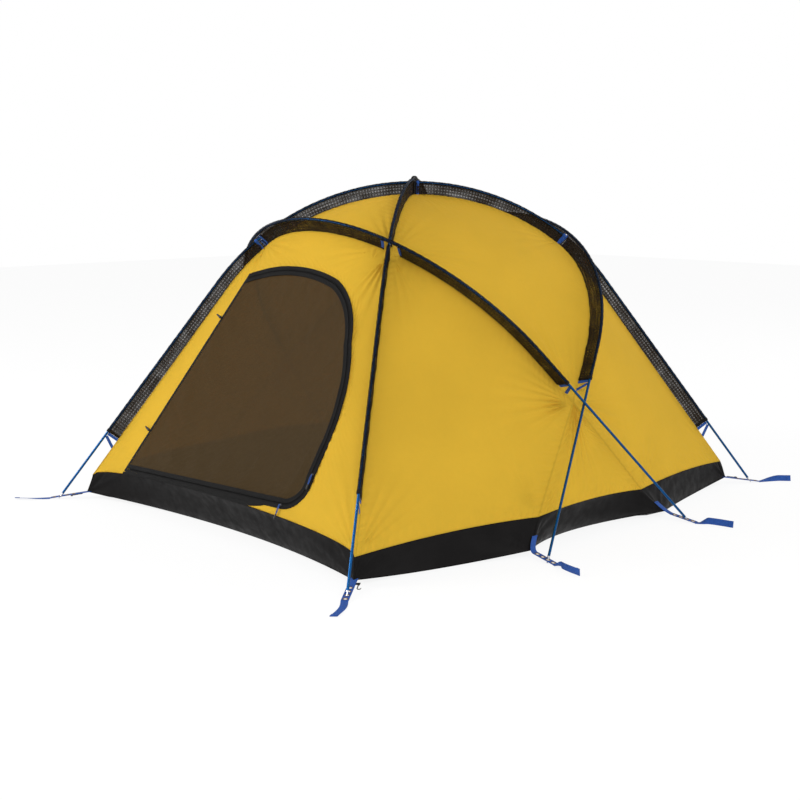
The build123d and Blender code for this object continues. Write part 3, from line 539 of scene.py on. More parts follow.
def coated_floor():
    """Black coated nylon with fine creases and scuffs."""
    shader = Shader("coated_floor", (0.0065, 0.0060, 0.0060), 0.5, gloss=0.05)
    shader.mottle((0.0120, 0.0112, 0.0112), amount=0.5, scale=9.0, detail=6.0, high=0.8)
    shader.grain(scale=22.0, distance=0.004, strength=0.4, detail=6.0)
    shader.grain(scale=1100.0, distance=0.0002, strength=0.4, detail=2.0)
    shader.roughness(0.40, 0.62, scale=30.0, detail=5.0)
    return shader.material


CHECK_PITCH = 0.012              # of the faint check that the sleeves' net shows


def net(name, colour, hole_size, open_share, mottle, streak=0.0):
    """Open mesh: holes between dark threads, in patches and, for a streak above 0, in streaks
    and a faint check."""
    shader = Shader(name, colour, 0.7, gloss=0.08)
    cells = shader.node("TexVoronoi", {"Vector": shader.place("UV"), "Scale": 1 / hole_size,
                                       "Randomness": 0.25})
    hole = shader.ramp(cells.outputs["Distance"], 0.50, 0.28)
    patches = shader.ramp(shader.noise(17.0), 0.35, 0.65, -mottle, mottle)
    share = shader.maths("ADD", shader.maths("MULTIPLY", hole, open_share * 1.6), patches)
    if streak:
        threads = shader.noise(1.0, 2.0, shader.place("UV", (330.0, 9.0, 1.0)))
        share = shader.maths("ADD", share, shader.ramp(threads, 0.35, 0.65, -streak, streak))
        check = shader.maths("MULTIPLY", shader.wave(CHECK_PITCH), shader.wave(CHECK_PITCH, "Y"))
        share = shader.maths("ADD", share, shader.ramp(check, 0.2, 0.8, -streak, streak))
    clear = shader.maths("MINIMUM", shader.maths("MAXIMUM", share, 0.02), 0.95)
    shader.mottle(shade(colour, 1.8), amount=0.5, scale=300.0)
    shader.bump(hole, -0.0004, 0.6)
    shader.mixed_with("BsdfTransparent", clear, (1.0, 1.0, 1.0))
    return shader.material


def woven(name, colour, rib=0.0016):
    """Webbing or tape: ribs across it, a lighter fleck and worn high spots."""
    shader = Shader(name, colour, 0.6, gloss=0.12)
    shader.set(Sheen_Weight=0.02)
    ribs = shader.wave(rib, "Y", distortion=0.4)
    weave = shader.wave(rib * 0.8, distortion=0.4)
    fleck = shader.maths("MULTIPLY", shader.maths("MULTIPLY", ribs, weave), 0.35)
    shader.tint(fleck, shade(colour, 1.8, 0.003))
    shader.mottle(shade(colour, 0.5), amount=0.4, scale=90.0, detail=4.0, low=0.5, high=0.8)
    shader.bump(ribs, 0.0004, 0.7)
    shader.bump(weave, 0.0003, 0.5)
    return shader.material


def braid(name, colour):
    """Cord with slanting strands."""
    shader = Shader(name, colour, 0.65, gloss=0.3)
    shader.set(Sheen_Weight=0.06)
    twist = shader.node("TexWave", {"Vector": shader.place("UV"), "Scale": 180.0},
                        bands_direction="DIAGONAL").outputs["Fac"]
    shader.tint(shader.ramp(twist, 0.4, 0.7, 0.0, 0.5), shade(colour, 0.4))
    shader.bump(twist, 0.0003, 0.8)
    return shader.material


def metal(name, colour, roughness, wear_colour=None):
    """Drawn or turned metal: fine scratches, smudges and, where asked, wear to bare metal."""
    shader = Shader(name, colour, roughness, metallic=1.0)
    scratches = shader.noise(240.0, 6.0, shader.place("Object", (1.0, 1.0, 0.15)))
    shader.bump(scratches, 0.0001, 0.3)
    shader.roughness(roughness * 0.8, roughness * 1.35, scale=35.0, detail=5.0)
    shader.mottle(shade(colour, 0.7), amount=0.35, scale=18.0, detail=4.0)
    if wear_colour:
        shader.mottle(wear_colour, amount=0.6, scale=160.0, detail=5.0, low=0.66, high=0.72)
    return shader.material


def plastic(name, colour, roughness):
    """Moulded plastic with a fine grain and dust."""
    shader = Shader(name, colour, roughness)
    shader.grain(scale=800.0, distance=0.0002, strength=0.5, detail=2.0)
    shader.mottle(shade(colour, 1.5, 0.01), amount=0.4, scale=40.0, detail=5.0, low=0.5, high=0.8)
    shader.roughness(roughness * 0.85, roughness * 1.2, scale=60.0, detail=4.0)
    return shader.material


COIL_PITCH = 0.0014


def zip_tape_material():
    """Black zip tape with a coil's bars along its raised edge."""
    shader = Shader("zip_tape", (0.0048, 0.0045, 0.0044), 0.6, gloss=0.08)
    bars = shader.wave(COIL_PITCH)
    shader.bump(bars, 0.0004, 0.8)
    shader.tint(shader.ramp(bars, 0.6, 0.9, 0.0, 0.4), (0.011, 0.011, 0.011))
    shader.grain(scale=700.0, distance=0.0002, strength=0.4)
    return shader.material


GOLD = (0.800, 0.552, 0.054)
GOLD_GLOW = (0.97, 0.64, 0.034)
BLUE = (0.020, 0.072, 0.290)
RIPSTOP = ripstop("canopy_ripstop", GOLD, GOLD_GLOW)
SEAM_TAPE = ripstop("canopy_seam_tape", shade(GOLD, 0.96), shade(GOLD_GLOW, 0.92), stitched=True)
FLOOR = coated_floor()
SLEEVE_NET = net("sleeve_mesh", (0.0130, 0.0082, 0.0040), 0.0022, 0.36, 0.09, 0.15)
TUBE_NET = net("sleeve_tube_mesh", (0.0035, 0.0035, 0.0050), 0.0060, 0.48, 0.06)
# the door net's brown is partly painted light: it lets little through, so the glow of the lit
# golden inside of the tent, seen through a dark net, is painted into its colour
INSECT_NET = net("insect_mesh", (0.0400, 0.0245, 0.0088), 0.0011, 0.055, 0.006)
BLUE_WEBBING = woven("blue_webbing", BLUE)
BLACK_WEBBING = woven("black_webbing", (0.0050, 0.0045, 0.0045))
THREAD = woven("stitch_thread", (0.008, 0.010, 0.020), 0.0006)
ZIP_TAPE_CLOTH = zip_tape_material()
SLIDER_METAL = metal("slider_metal", (0.035, 0.035, 0.038), 0.35, (0.45, 0.44, 0.42))
PULL_CORD = braid("pull_cord", BLUE)
TOGGLE_PLASTIC = plastic("toggle_plastic", (0.010, 0.010, 0.010), 0.5)
HOOK_PLASTIC = plastic("hook_plastic", (0.008, 0.008, 0.008), 0.28)
EYELET_BRASS = metal("eyelet_brass", (0.27, 0.17, 0.05), 0.42, (0.12, 0.08, 0.03))
POLE_ALLOY = metal("pole_alloy", (0.008, 0.068, 0.200), 0.30, (0.10, 0.28, 0.52))
BARE_ALLOY = metal("tip_alloy", (0.74, 0.75, 0.77), 0.28)
SHOCK_CORD = braid("shock_cord", (0.62, 0.62, 0.60))


# ---------------------------------------------------------------- canopy

TENSION_ROUNDS = 700
CLOTH_THICKNESS = 0.0004


def coons(bottom, top, left, right):
    """A grid that fills four edges; rows run from the bottom edge up."""
    u = np.linspace(0, 1, len(bottom))[None, :, None]
    v = np.linspace(0, 1, len(left))[:, None, None]
    across = left[:, None] * (1 - u) + right[:, None] * u
    along = bottom[None] * (1 - v) + top[None] * v
    low = bottom[0] * (1 - u) + bottom[-1] * u
    high = top[0] * (1 - u) + top[-1] * u
    return across + along - (low * (1 - v) + high * v)


def tensioned(grid, closed=False):
    """Lets the inside of a sheet pull flat between its fixed edges, like stretched cloth."""
    grid = grid.copy()
    for _ in range(TENSION_ROUNDS):
        if closed:
            sides = np.roll(grid, 1, axis=1) + np.roll(grid, -1, axis=1)
            grid[1:-1] = (sides[1:-1] + grid[2:] + grid[:-2]) / 4
        else:
            grid[1:-1, 1:-1] = (grid[1:-1, 2:] + grid[1:-1, :-2]
                                + grid[2:, 1:-1] + grid[:-2, 1:-1]) / 4
    return grid


def grid_normals(grid, closed=False):
    """Outward normals where rows go up and columns go to the right, seen from outside."""
    if closed:
        across = np.roll(grid, -1, axis=1) - np.roll(grid, 1, axis=1)
    else:
        across = np.gradient(grid, axis=1)
    normals = np.cross(across, np.gradient(grid, axis=0))
    return normals / np.maximum(np.linalg.norm(normals, axis=-1, keepdims=True), 1e-9)


UNEVENNESS = 0.0018
FOLD_COUNT = 35.0                # folds once round a pulled corner
FOLD_START = 0.03                # distance from the corner over which the folds grow
FOLDLESS_EDGE = 0.035            # width along a seam that the folds fade out over
PUCKER_PITCH = 0.032
PUCKER_DEPTH = 0.0034
PUCKER_REACH = 0.030
PUCKER_START = 0.008

# where the cloth is pulled: the corner, how far its folds reach and how deep they are
PULLED = ((CROSSING, 0.11, 0.0105), (WAIST, 0.13, 0.0085), (BAND_CORNER, 0.16, 0.0070),
          (BAND_SIDE, 0.11, 0.0070))
ANCHORS = [(corner * (a, b, 1), reach, depth) for corner, reach, depth in PULLED
           for a in (-1, 1) for b in (-1, 1)] + [(CROWN, 0.14, 0.0030)]


# slow waves across space: radians per metre along x, y and z, and a phase
WAVES = ((5.1, 3.3, 7.7, 0.4), (-7.9, 4.7, 3.1, 2.1), (3.7, -9.1, 5.9, 4.4),
         (13.0, 9.0, -11.0, 1.3))


def uneven(points):
    """A slow rise and fall over the cloth, from -1 to 1."""
    return sum(np.sin(points @ np.array(wave[:3]) + wave[3]) for wave in WAVES) / len(WAVES)


def edge_measures(grid, closed):
    """Each point's distance to the nearest edge, and how far along that edge it lies."""
    up, along = cumulative(grid, 0), cumulative(grid, 1)
    to_rows = np.minimum(up, up[-1:] - up)
    if closed:
        return to_rows, along
    to_columns = np.minimum(along, along[:, -1:] - along)
    nearer_row = to_rows < to_columns
    return np.where(nearer_row, to_rows, to_columns), np.where(nearer_row, along, up)


def folds(grid, corner, first, second):
    """Folds that fan out from a pulled corner, from -1 to 1; two axes span the cloth."""
    away = grid - corner
    angle = np.arctan2(away @ second, away @ first)
    fan = np.sin(FOLD_COUNT * angle + 2.0 * np.sin(3.0 * angle + 9.0 * corner[0]))
    return np.abs(fan) ** 0.7 * np.sign(fan) * (0.6 + 0.4 * np.sin(5.0 * angle + corner[0]))


def near(grid, corner, reach, start):
    """Fades with the distance from a corner, and is 0 at the corner itself."""
    distance = np.linalg.norm(grid - corner, axis=-1)
    return np.exp(-distance / reach) * distance / (distance + start)


def wrinkled(grid, closed=False):
    """Adds folds that fan out from the pulled corners, puckers along seams and unevenness."""
    normals = grid_normals(grid, closed)
    edge, along = edge_measures(grid, closed)
    mean = unit(normals.reshape(-1, 3).mean(0))
    first = unit(np.cross(mean, UP + 0.1 * mean[[1, 2, 0]]))
    second = np.cross(mean, first)
    lift = UNEVENNESS * uneven(grid)
    for corner, reach, depth in ANCHORS:
        lift += depth * folds(grid, corner, first, second) * near(grid, corner, reach, FOLD_START)
    lift *= 1 - np.exp(-(edge / FOLDLESS_EDGE) ** 2)
    wave = np.sin(2 * math.pi * along / PUCKER_PITCH + 1.7 * np.sin(along * 17.0))
    lift += (PUCKER_DEPTH * wave * np.exp(-edge / PUCKER_REACH)
             * (1 - np.exp(-(edge / PUCKER_START) ** 2)))
    return grid + normals * lift[..., None]


HEM_WIDTH = 0.006
HEM_RISE = 0.0004
HEM_EDGE = 0.0002                # how far the hem's edges stand off the cloth
HEM_PROFILE = ((0.0, HEM_EDGE), (0.02, HEM_RISE), (0.5, HEM_RISE * 1.15), (0.96, HEM_RISE),
               (1.0, -HEM_EDGE))


def hem(surface, grid, closed=False):
    """A flat-felled seam allowance along each edge of a panel."""
    normals = grid_normals(grid, closed)
    edges = [(grid[0], grid[1], normals[0]), (grid[-1], grid[-2], normals[-1])]
    if not closed:
        edges += [(grid[:, 0], grid[:, 1], normals[:, 0]),
                  (grid[:, -1], grid[:, -2], normals[:, -1])]
    for edge, inner, normal in edges:
        reach = inner - edge
        length = np.maximum(np.linalg.norm(reach, axis=-1, keepdims=True), 1e-6)
        inwards = reach / length * np.minimum(HEM_WIDTH, length)
        rows = [edge + inwards * share + normal * rise for share, rise in HEM_PROFILE]
        surface.grid(np.array(rows), 1, closed=closed)


def panel(surface, grid, closed=False):
    grid = wrinkled(tensioned(grid, closed), closed)
    surface.grid(grid, 0, closed=closed)
    hem(surface, grid, closed)


HOOP_SEAM = seam(SEAM_HOOP, -HOOP_SEAM_CROSSING, HOOP_SEAM_CROSSING, CROSSING * FLIP_X, CROSSING)
CROWN_GAP = 0.02                 # how short of the crown the front roof ends, as a share of a side
GUSSET_GAP = 0.004               # how short of the waist the narrow side panel ends, likewise


def front_roof():
    """Between the front hoop and the crossing of the long poles."""
    near_crown = LONG_SEAM_CROSSING * CROWN_GAP
    right = seam(SEAM_LONG, LONG_SEAM_CROSSING, near_crown, CROSSING,
                 SEAM_LONG.points(near_crown, FIN_DEPTH))
    left = right * FLIP_X
    return coons(HOOP_SEAM, line(left[-1], right[-1]), left, right)


def right_roof():
    """The four-sided panel between both hoops and both long poles."""
    front_low = seam(SEAM_HOOP, HOOPS_MEETING, HOOP_SEAM_CROSSING, WAIST, CROSSING)
    front_high = seam(SEAM_LONG, LONG_SEAM_CROSSING, 0.0, CROSSING, CROWN)
    return coons(front_low * FLIP_Y, front_high, front_low, front_high * FLIP_Y)


def front_right_side():
    bottom = band_top(BAND_CORNER, BAND_SIDE, SIDE_ARCH)
    left = seam(SEAM_LONG, BAND_CORNER_RUN, LONG_SEAM_CROSSING, BAND_CORNER, CROSSING)
    top = seam(SEAM_HOOP, HOOP_SEAM_CROSSING, HOOPS_MEETING, CROSSING, WAIST)
    return coons(bottom, top, left, line(BAND_SIDE, WAIST))


def right_gusset():
    """The narrow panel under the crossing of the hoops."""
    front_edge = line(BAND_SIDE, BAND_SIDE * GUSSET_GAP + WAIST * (1 - GUSSET_GAP))
    rear_edge = front_edge * FLIP_Y
    return coons(band_top(front_edge[0], rear_edge[0], SIDE_ARCH),
                 line(front_edge[-1], rear_edge[-1]), front_edge, rear_edge)


def on_door(points, lift=0.0):
    """Points drawn on the end panel's leaning plane, lifted out of the tent."""
    points = np.asarray(points, float)
    lift = np.broadcast_to(lift, points.shape[:-1])[..., None]
    across, up = points[..., :1], points[..., 1:]
    return BAND_CORNER * (0, 1, 1) + across * (1, 0, 0) + up * DOOR_UP + lift * DOOR_OUT


OVER_TOP = joined(arc(HINGE_HEAD, DOOR_TOP, DOOR_SHOULDER_START),
                  arc(DOOR_SHOULDER_START, DOOR_SHOULDER, DOOR_SHOULDER_END))
UPPER_SIDE = joined(arc(DOOR_SHOULDER_END, DOOR_SIDE, DOOR_SIDE_TOP),
                    line(DOOR_SIDE_TOP, DOOR_SIDE_FOOT, 20))
TOE = arc(DOOR_SIDE_FOOT, DOOR_TOE, DOOR_TOE_END)
DOWN_SIDE = joined(UPPER_SIDE, TOE)
FOOT_SIDE = line(DOOR_TOE_END, HINGE_FOOT, 60)
HINGE_SIDE = line(HINGE_FOOT, HINGE_HEAD, 60)
OPEN_SIDES = joined(OVER_TOP, DOWN_SIDE, FOOT_SIDE)
TOP_CORNER = 0.86                # share of the line over the top where its far corner lies
LOW_CORNER = 6                   # point of the hinge side where the panel's low corner lies


def inset(outline, distances):
    """A closed outline moved in, by its own distance for the step after each point."""
    after = np.roll(outline, -1, axis=0) - outline
    normals = unit(np.stack([after[:, 1], -after[:, 0]], -1))
    before, earlier = np.roll(normals, 1, axis=0), np.roll(distances, 1)
    moved = []
    for point, n1, n2, d1, d2 in zip(outline, before, normals, earlier, distances):
        if abs(d1 - d2) < 1e-9:
            moved.append(point + d1 * (n1 + n2) / (1 + n1 @ n2))
        else:
            moved.append(point + np.linalg.solve(np.array([n1, n2]), np.array([d1, d2])))
    return np.array(moved)


def door_line(distance):
    """The opening's edge from the hinge's head round to its foot, moved in by a distance."""
    distances = np.full(len(OPEN_SIDES), float(distance))
    distances[-1] = 0.0          # the hinge side stays where it is
    return inset(OPEN_SIDES, distances)


def front_end_panel():
    """A ring from the door's opening out to the seams and the floor band."""
    split = int(len(OVER_TOP) * TOP_CORNER)
    inner = [resampled(side, STEPS)[:-1] for side in
             (HINGE_SIDE[LOW_CORNER:], OVER_TOP[:split + 1], joined(OVER_TOP[split:], UPPER_SIDE),
              joined(TOE, FOOT_SIDE, HINGE_SIDE[:LOW_CORNER + 1]))]
    inner = on_door(np.concatenate(inner))
    right_leg = seam(SEAM_LONG, LONG_SEAM_CROSSING, BAND_CORNER_RUN, CROSSING, BAND_CORNER)
    foot = band_top(BAND_CORNER, BAND_CORNER * FLIP_X, END_ARCH, END_FULLNESS)
    outer = [side[:-1] for side in (right_leg[::-1] * FLIP_X, HOOP_SEAM, right_leg, foot)]
    outer = np.concatenate(outer)
    share = np.linspace(0, 1, STEPS // 4 + 1)[:, None, None]
    return inner * (1 - share) + outer * share


def canopy_piece(name, grids, node, closed=False):
    surface = Surface()
    for grid in grids:
        panel(surface, grid, closed)
    surface.stand_in(name, [RIPSTOP, SEAM_TAPE], node, "tent_body", "canopy_ripstop",
                     thickness=CLOTH_THICKNESS)


def build_canopy():
    side = front_right_side()
    rear_side = side[:, ::-1] * FLIP_Y
    sides = [side, right_gusset(), rear_side]
    for end, turn in (("front", 1), ("rear", HALF_TURN)):
        canopy_piece(f"canopy_{end}_end", [front_end_panel() * turn], f"{end}_end_panel", True)
        canopy_piece(f"canopy_{end}_roof", [front_roof() * turn], f"{end}_roof_panel")
    for hand, turn in (("right", 1), ("left", HALF_TURN)):
        canopy_piece(f"canopy_{hand}_roof", [right_roof() * turn], f"{hand}_roof_panel")
        canopy_piece(f"canopy_{hand}_sides", [grid * turn for grid in sides],
                     f"{hand}_side_panels")


# ---------------------------------------------------------------- tub floor

def floor_edge(start, end, depth):
    """The folded edge of the floor between two corners: it bows in and sags to the ground."""
    start, end = np.array(start), np.array(end)
    middle = (start + end) / 2 * (-1, -1, 0)
    along = end - start
    inwards = unit(middle - along * (middle @ along) / (along @ along))
    share = shares(STEPS)[:, None]
    sag = bow(share)
    points = start + along * share + inwards * depth * sag
    points[:, 2:] += (EDGE_LIFT - points[:, 2:]) * sag
    return points


CORNER = np.array(FLOOR_CORNER) * FLIP_Y
SIDE_CORNER = np.array(FLOOR_SIDE) * FLIP_Y
END_EDGE = floor_edge(CORNER * FLIP_X, CORNER, EDGE_BOW_END)
QUARTER_EDGE = floor_edge(CORNER, SIDE_CORNER, EDGE_BOW_SIDE)
MIDDLE_EDGE = floor_edge(SIDE_CORNER, SIDE_CORNER * FLIP_Y, EDGE_BOW_MIDDLE)
BAND_ROWS = 14
BAND_UNEVENNESS = 0.0015
BAND_SETBACK = 0.0008            # how far the band lies in behind the canopy's surface
CREASE_DEPTH = 0.0060
CREASE_REACH = 0.16
CREASE_START = 0.04              # distance from a corner over which the creases grow


def band(surface, low, high):
    """One panel of the black band, creased from the corners that the straps pull on."""
    grid = coons(low, high, line(low[0], high[0], BAND_ROWS), line(low[-1], high[-1], BAND_ROWS))
    lift = BAND_UNEVENNESS * uneven(grid * 3.0)
    for corner in (low[0], low[-1]):
        away = grid - corner
        angle = np.arctan2(away[..., 2], np.linalg.norm(away[..., :2], axis=-1))
        fan = np.sin(13.0 * angle + 6.0 * corner[0]) + 0.7 * np.sin(31.0 * angle)
        lift += CREASE_DEPTH * fan * near(grid, corner, CREASE_REACH, CREASE_START)
    lift *= np.sin(math.pi * shares(BAND_ROWS))[:, None].clip(0) ** 0.5
    surface.grid(grid + grid_normals(grid) * (lift[..., None] - BAND_SETBACK))


FLOOR_THICKNESS = 0.0005
SHEET_RINGS = 16
SHEET_CENTRE = 0.02              # size of the innermost ring, as a share of the outline
SHEET_RISE_WIDTH = 0.07          # how far in from the edge the sheet lies on the ground
SHEET_BUMPS = 0.0006


def build_floor():
    corner_top = band_top(BAND_CORNER, BAND_SIDE, SIDE_ARCH)
    end_top = band_top(BAND_CORNER * FLIP_X, BAND_CORNER, END_ARCH, END_FULLNESS)
    middle_top = band_top(BAND_SIDE, BAND_SIDE * FLIP_Y, SIDE_ARCH)
    walls = Surface()
    for turn in (1, HALF_TURN):
        for low, high in ((END_EDGE, end_top), (MIDDLE_EDGE, middle_top),
                          (QUARTER_EDGE, corner_top),
                          ((QUARTER_EDGE * FLIP_Y)[::-1], (corner_top * FLIP_Y)[::-1])):
            band(walls, low * turn, high * turn)
    walls.stand_in("tub_wall", [FLOOR], "floor_band", "tent_body", "coated_floor",
                   thickness=FLOOR_THICKNESS)

    outline = joined(END_EDGE, QUARTER_EDGE, MIDDLE_EDGE, (QUARTER_EDGE * FLIP_Y)[::-1],
                     (END_EDGE * FLIP_Y)[::-1], QUARTER_EDGE * HALF_TURN,
                     MIDDLE_EDGE * HALF_TURN, (QUARTER_EDGE * FLIP_X)[::-1])[:-1]
    spread = np.linspace(SHEET_CENTRE, 1, SHEET_RINGS)[:, None, None]
    sheet = outline[None] * spread
    from_edge = (1 - spread[..., 0]) * np.linalg.norm(outline[:, :2], axis=1)
    rise = np.clip(1 - from_edge / SHEET_RISE_WIDTH, 0, 1) ** 2
    bumps = SHEET_BUMPS * (1 + uneven(sheet * 4.0))
    sheet[..., 2] = outline[:, 2] * rise + bumps * (1 - rise) + SHEET_BUMPS
    ground = Surface()
    ground.grid(sheet, closed=True)
    ground.grid(np.stack([sheet[0], np.broadcast_to(sheet[0].mean(0), sheet[0].shape)]),
                closed=True)
    ground.stand_in("tub_floor", [FLOOR], "groundsheet", "tent_body", "coated_floor")


# ---------------------------------------------------------------- mesh sleeves

TUBE_RADIUS = 0.0072
BINDING_WIDTH = 0.011
LOOP_COUNT = 10                  # places round the pole in a sleeve's section
FIN_TUCK = 0.012                 # how far a fin's sewn edge reaches in past the canopy's seam
CAP_REACH = 0.036                # half the length of the cap over the crown, at the seam
CAP_RISE = 0.005

# sizes of the openings in the fins: half the width at the pole, and how much wider at the seam
WIDE_OPENING = (0.031, 0.006)    # in a hoop's fin, where the upper long pole crosses
RAKED_OPENING = (0.016, 0.020)   # in the upper long pole's own fin
CLOSE_OPENING = (0.0085, 0.001)  # everywhere else, where the fins almost meet

# insets and shifts of one face of a fin, from its sewn edge up to the pole
FIN_FLAT = ((FIN_DEPTH + FIN_TUCK, 0.0006), (0.046, 0.0007), (0.036, 0.0008), (0.026, 0.0009),
            (0.018, 0.0012), (0.013, 0.0022), (0.009, 0.0040))


def teardrop(extra=0.0):
    """The sleeve's section, as insets and shifts: up one face of the fin, round the pole and
    down the other face."""
    flat = [(depth, side + extra) for depth, side in FIN_FLAT]
    angles = np.radians(np.linspace(45, 315, LOOP_COUNT))
    loop = [((TUBE_RADIUS + extra) * math.cos(a), (TUBE_RADIUS + extra) * math.sin(a))
            for a in angles]
    back = [(depth, -side) for depth, side in reversed(flat)]
    return np.array(flat + loop + back), len(flat)


def fin_share(depth):
    """How far down the fin an inset lies: 0 at the pole, 1 at the seam."""
    return np.clip(depth / FIN_DEPTH, 0, 1)


def flare(depth, opening):
    """Half the width of an opening at an inset."""
    return opening[0] + opening[1] * fin_share(depth) ** 1.6


NET_STEP = 0.012
NET_SWAY = 0.0022
TUBE_GATHER = 0.07               # how unevenly the tube is gathered, as a share of its radius
TUBE_DEPTH = 0.006               # inset where the tube ends and the fin begins


def net_span(surface, arch, start, end, openings):
    """A stretch of sleeve and fin; a cut end slopes back towards the seam."""
    section, flat = teardrop()
    depth, side = section.T
    share = np.linspace(0, 1, max(3, int((end - start) / NET_STEP)))[:, None]
    first = start + flare(depth, openings[0])
    last = end - flare(depth, openings[1])
    run = first + (last - first) * share
    sway = np.sin(math.pi * fin_share(depth)) * (np.sin(run * 52.0) + 0.6 * np.sin(run * 131.0 + 1))
    tube = 1 + TUBE_GATHER * np.sin(run * 190.0) * (depth < TUBE_DEPTH)
    grid = arch.points(run, depth * tube, side * tube + NET_SWAY * sway)
    surface.grid(grid[:, :flat + 1], 0)
    surface.grid(grid[:, flat:-flat], 1)
    surface.grid(grid[:, -flat - 1:], 0)


BINDING_ALONG = np.array([0.0, 0.0, 0.5, 1.0, 1.0])[:, None] * BINDING_WIDTH
BINDING_SWELL = np.array([0.55, 1.0, 1.08, 1.0, 0.55])[:, None]
BINDING_THICKNESS = 0.0009
BINDING_LAP = 0.001              # how far a binding stands past the net's cut edge


def binding(surface, arch, edge, inwards, opening, slot, over_pole):
    """A folded tape along a fin's cut end, on both faces and, where asked, over the pole."""
    section, flat = teardrop(BINDING_THICKNESS)
    depth, side = section.T
    depth = np.where(depth > FIN_FLAT[1][0], FIN_DEPTH - BINDING_LAP, depth)
    run = edge + inwards * (flare(depth, opening) + BINDING_ALONG - BINDING_LAP)
    grid = arch.points(run, depth, side * BINDING_SWELL)
    if over_pole:
        surface.grid(grid, slot)
    else:
        surface.grid(grid[:, :flat], slot)
        surface.grid(grid[:, -flat:], slot)


BRIDGE_GATHER = 0.05
BRIDGE_LAP = 0.002               # how far a bridge reaches into the sleeve on either side


def bridge(surface, arch, centre, reach):
    """The sleeve's tube where it goes on past an opening, with no fin under it."""
    angles = round_angles(12)
    run = np.linspace(centre - reach, centre + reach, 10)[:, None]
    radius = TUBE_RADIUS * (1 + BRIDGE_GATHER * np.sin(run * 300))
    surface.grid(arch.points(run, radius * np.cos(angles), radius * np.sin(angles)), 1,
                 closed=True)


CAP_THICKNESS = 0.0022
CAP_SWELL_DEPTH = 0.012          # inset down to which the cap is wider over the crossing
SKIRT_REACH = (0.008, 0.034)     # half the skirt's width at the pole and at the seam
SKIRT_TOP = -0.002               # inset of the skirt's top edge
SKIRT_STAND = 0.0016             # how far the skirt stands off the fin
SKIRT_BULGE = 0.0070             # how much further it stands out at the pole
SKIRT_BULGE_DEPTH = 0.010


def crown_cap(surface, arch):
    """A black cap folded over the crossing of the long poles, with a skirt down each side."""
    section, _ = teardrop(CAP_THICKNESS)
    depth, side = section.T
    share = np.linspace(-1, 1, 17)[:, None]
    peak = 0.5 + 0.5 * np.cos(math.pi * share)
    outer = np.clip(-depth / TUBE_RADIUS, 0, 1)
    reach = CAP_REACH * (0.75 + 0.25 * fin_share(depth))
    widening = 1 + 0.5 * peak * (depth < CAP_SWELL_DEPTH)
    surface.grid(arch.points(share * reach, depth - CAP_RISE * peak * outer, side * widening), 3)
    depth = np.linspace(SKIRT_TOP, FIN_DEPTH, 14)[:, None]
    reach = SKIRT_REACH[0] + (SKIRT_REACH[1] - SKIRT_REACH[0]) * fin_share(depth)
    bulge = SKIRT_STAND + SKIRT_BULGE * np.exp(-(depth / SKIRT_BULGE_DEPTH) ** 2)
    for hand in (-1, 1):
        surface.grid(LOWER_POLE.points(np.linspace(-1, 1, 11) * reach, depth, hand * bulge), 3)


def sleeve(name, node, arch, stops, openings, bridged=(), over_pole=True, tape=2):
    """A pole's mesh sleeve in stretches between its openings, where other poles cross it."""
    surface = Surface()
    closed = (0.0, 0.0)
    openings = [closed, *openings, closed]
    for index, (start, end) in enumerate(zip(stops, stops[1:])):
        pair = openings[index:index + 2]
        net_span(surface, arch, start, end, pair)
        for edge, inwards, opening in ((start, 1, pair[0]), (end, -1, pair[1])):
            look = (tape, over_pole) if opening[0] else (3, True)
            binding(surface, arch, edge, inwards, opening, *look)
    for centre in bridged:
        bridge(surface, arch, centre, openings[stops.index(centre)][0] + BRIDGE_LAP)
    if arch is UPPER_POLE:
        crown_cap(surface, arch)
    surface.stand_in(name, [SLEEVE_NET, TUBE_NET, BLUE_WEBBING, BLACK_WEBBING], node, "tent_body",
                     "sleeve_mesh", crease=60)


VEE_WIDTH = 0.012
VEE_THICKNESS = 0.0014
VEE_STITCHES = 0.0045            # from the middle of a tape to each row
VEE_RUNS = ((0.002, 0.002), (0.014, 0.040))      # along the pole at a tape's top and foot
VEE_TOP = 0.0055                 # inset where the tapes leave the pole
VEE_FOOT = FIN_DEPTH - 0.001     # and where they end, just short of the seam


def vee_tapes(surface, arch, end):
    """Two tapes from a sleeve's end to the seam: one square to it, one raked down the seam."""
    share = np.linspace(0, 1, 9)
    depth = VEE_TOP + (VEE_FOOT - VEE_TOP) * share
    for side in (-1, 1):
        for top, foot in VEE_RUNS:
            run = side * (end + VEE_WIDTH / 2 + top + (foot - top) * share)
            centres = arch.points(run, depth)
            along = unit(arch.points(run + 0.001, depth) - arch.points(run - 0.001, depth))
            square = unit(np.cross(np.gradient(centres, axis=0), arch.normal))
            square *= np.sign((square * along).sum(-1, keepdims=True))
            surface.strip(centres, square, arch.normal, VEE_WIDTH, VEE_THICKNESS)
            for edge in (-VEE_STITCHES, VEE_STITCHES):
                row = centres + square * edge + arch.normal * VEE_THICKNESS / 2
                stitches(surface, row, arch.normal, 1)


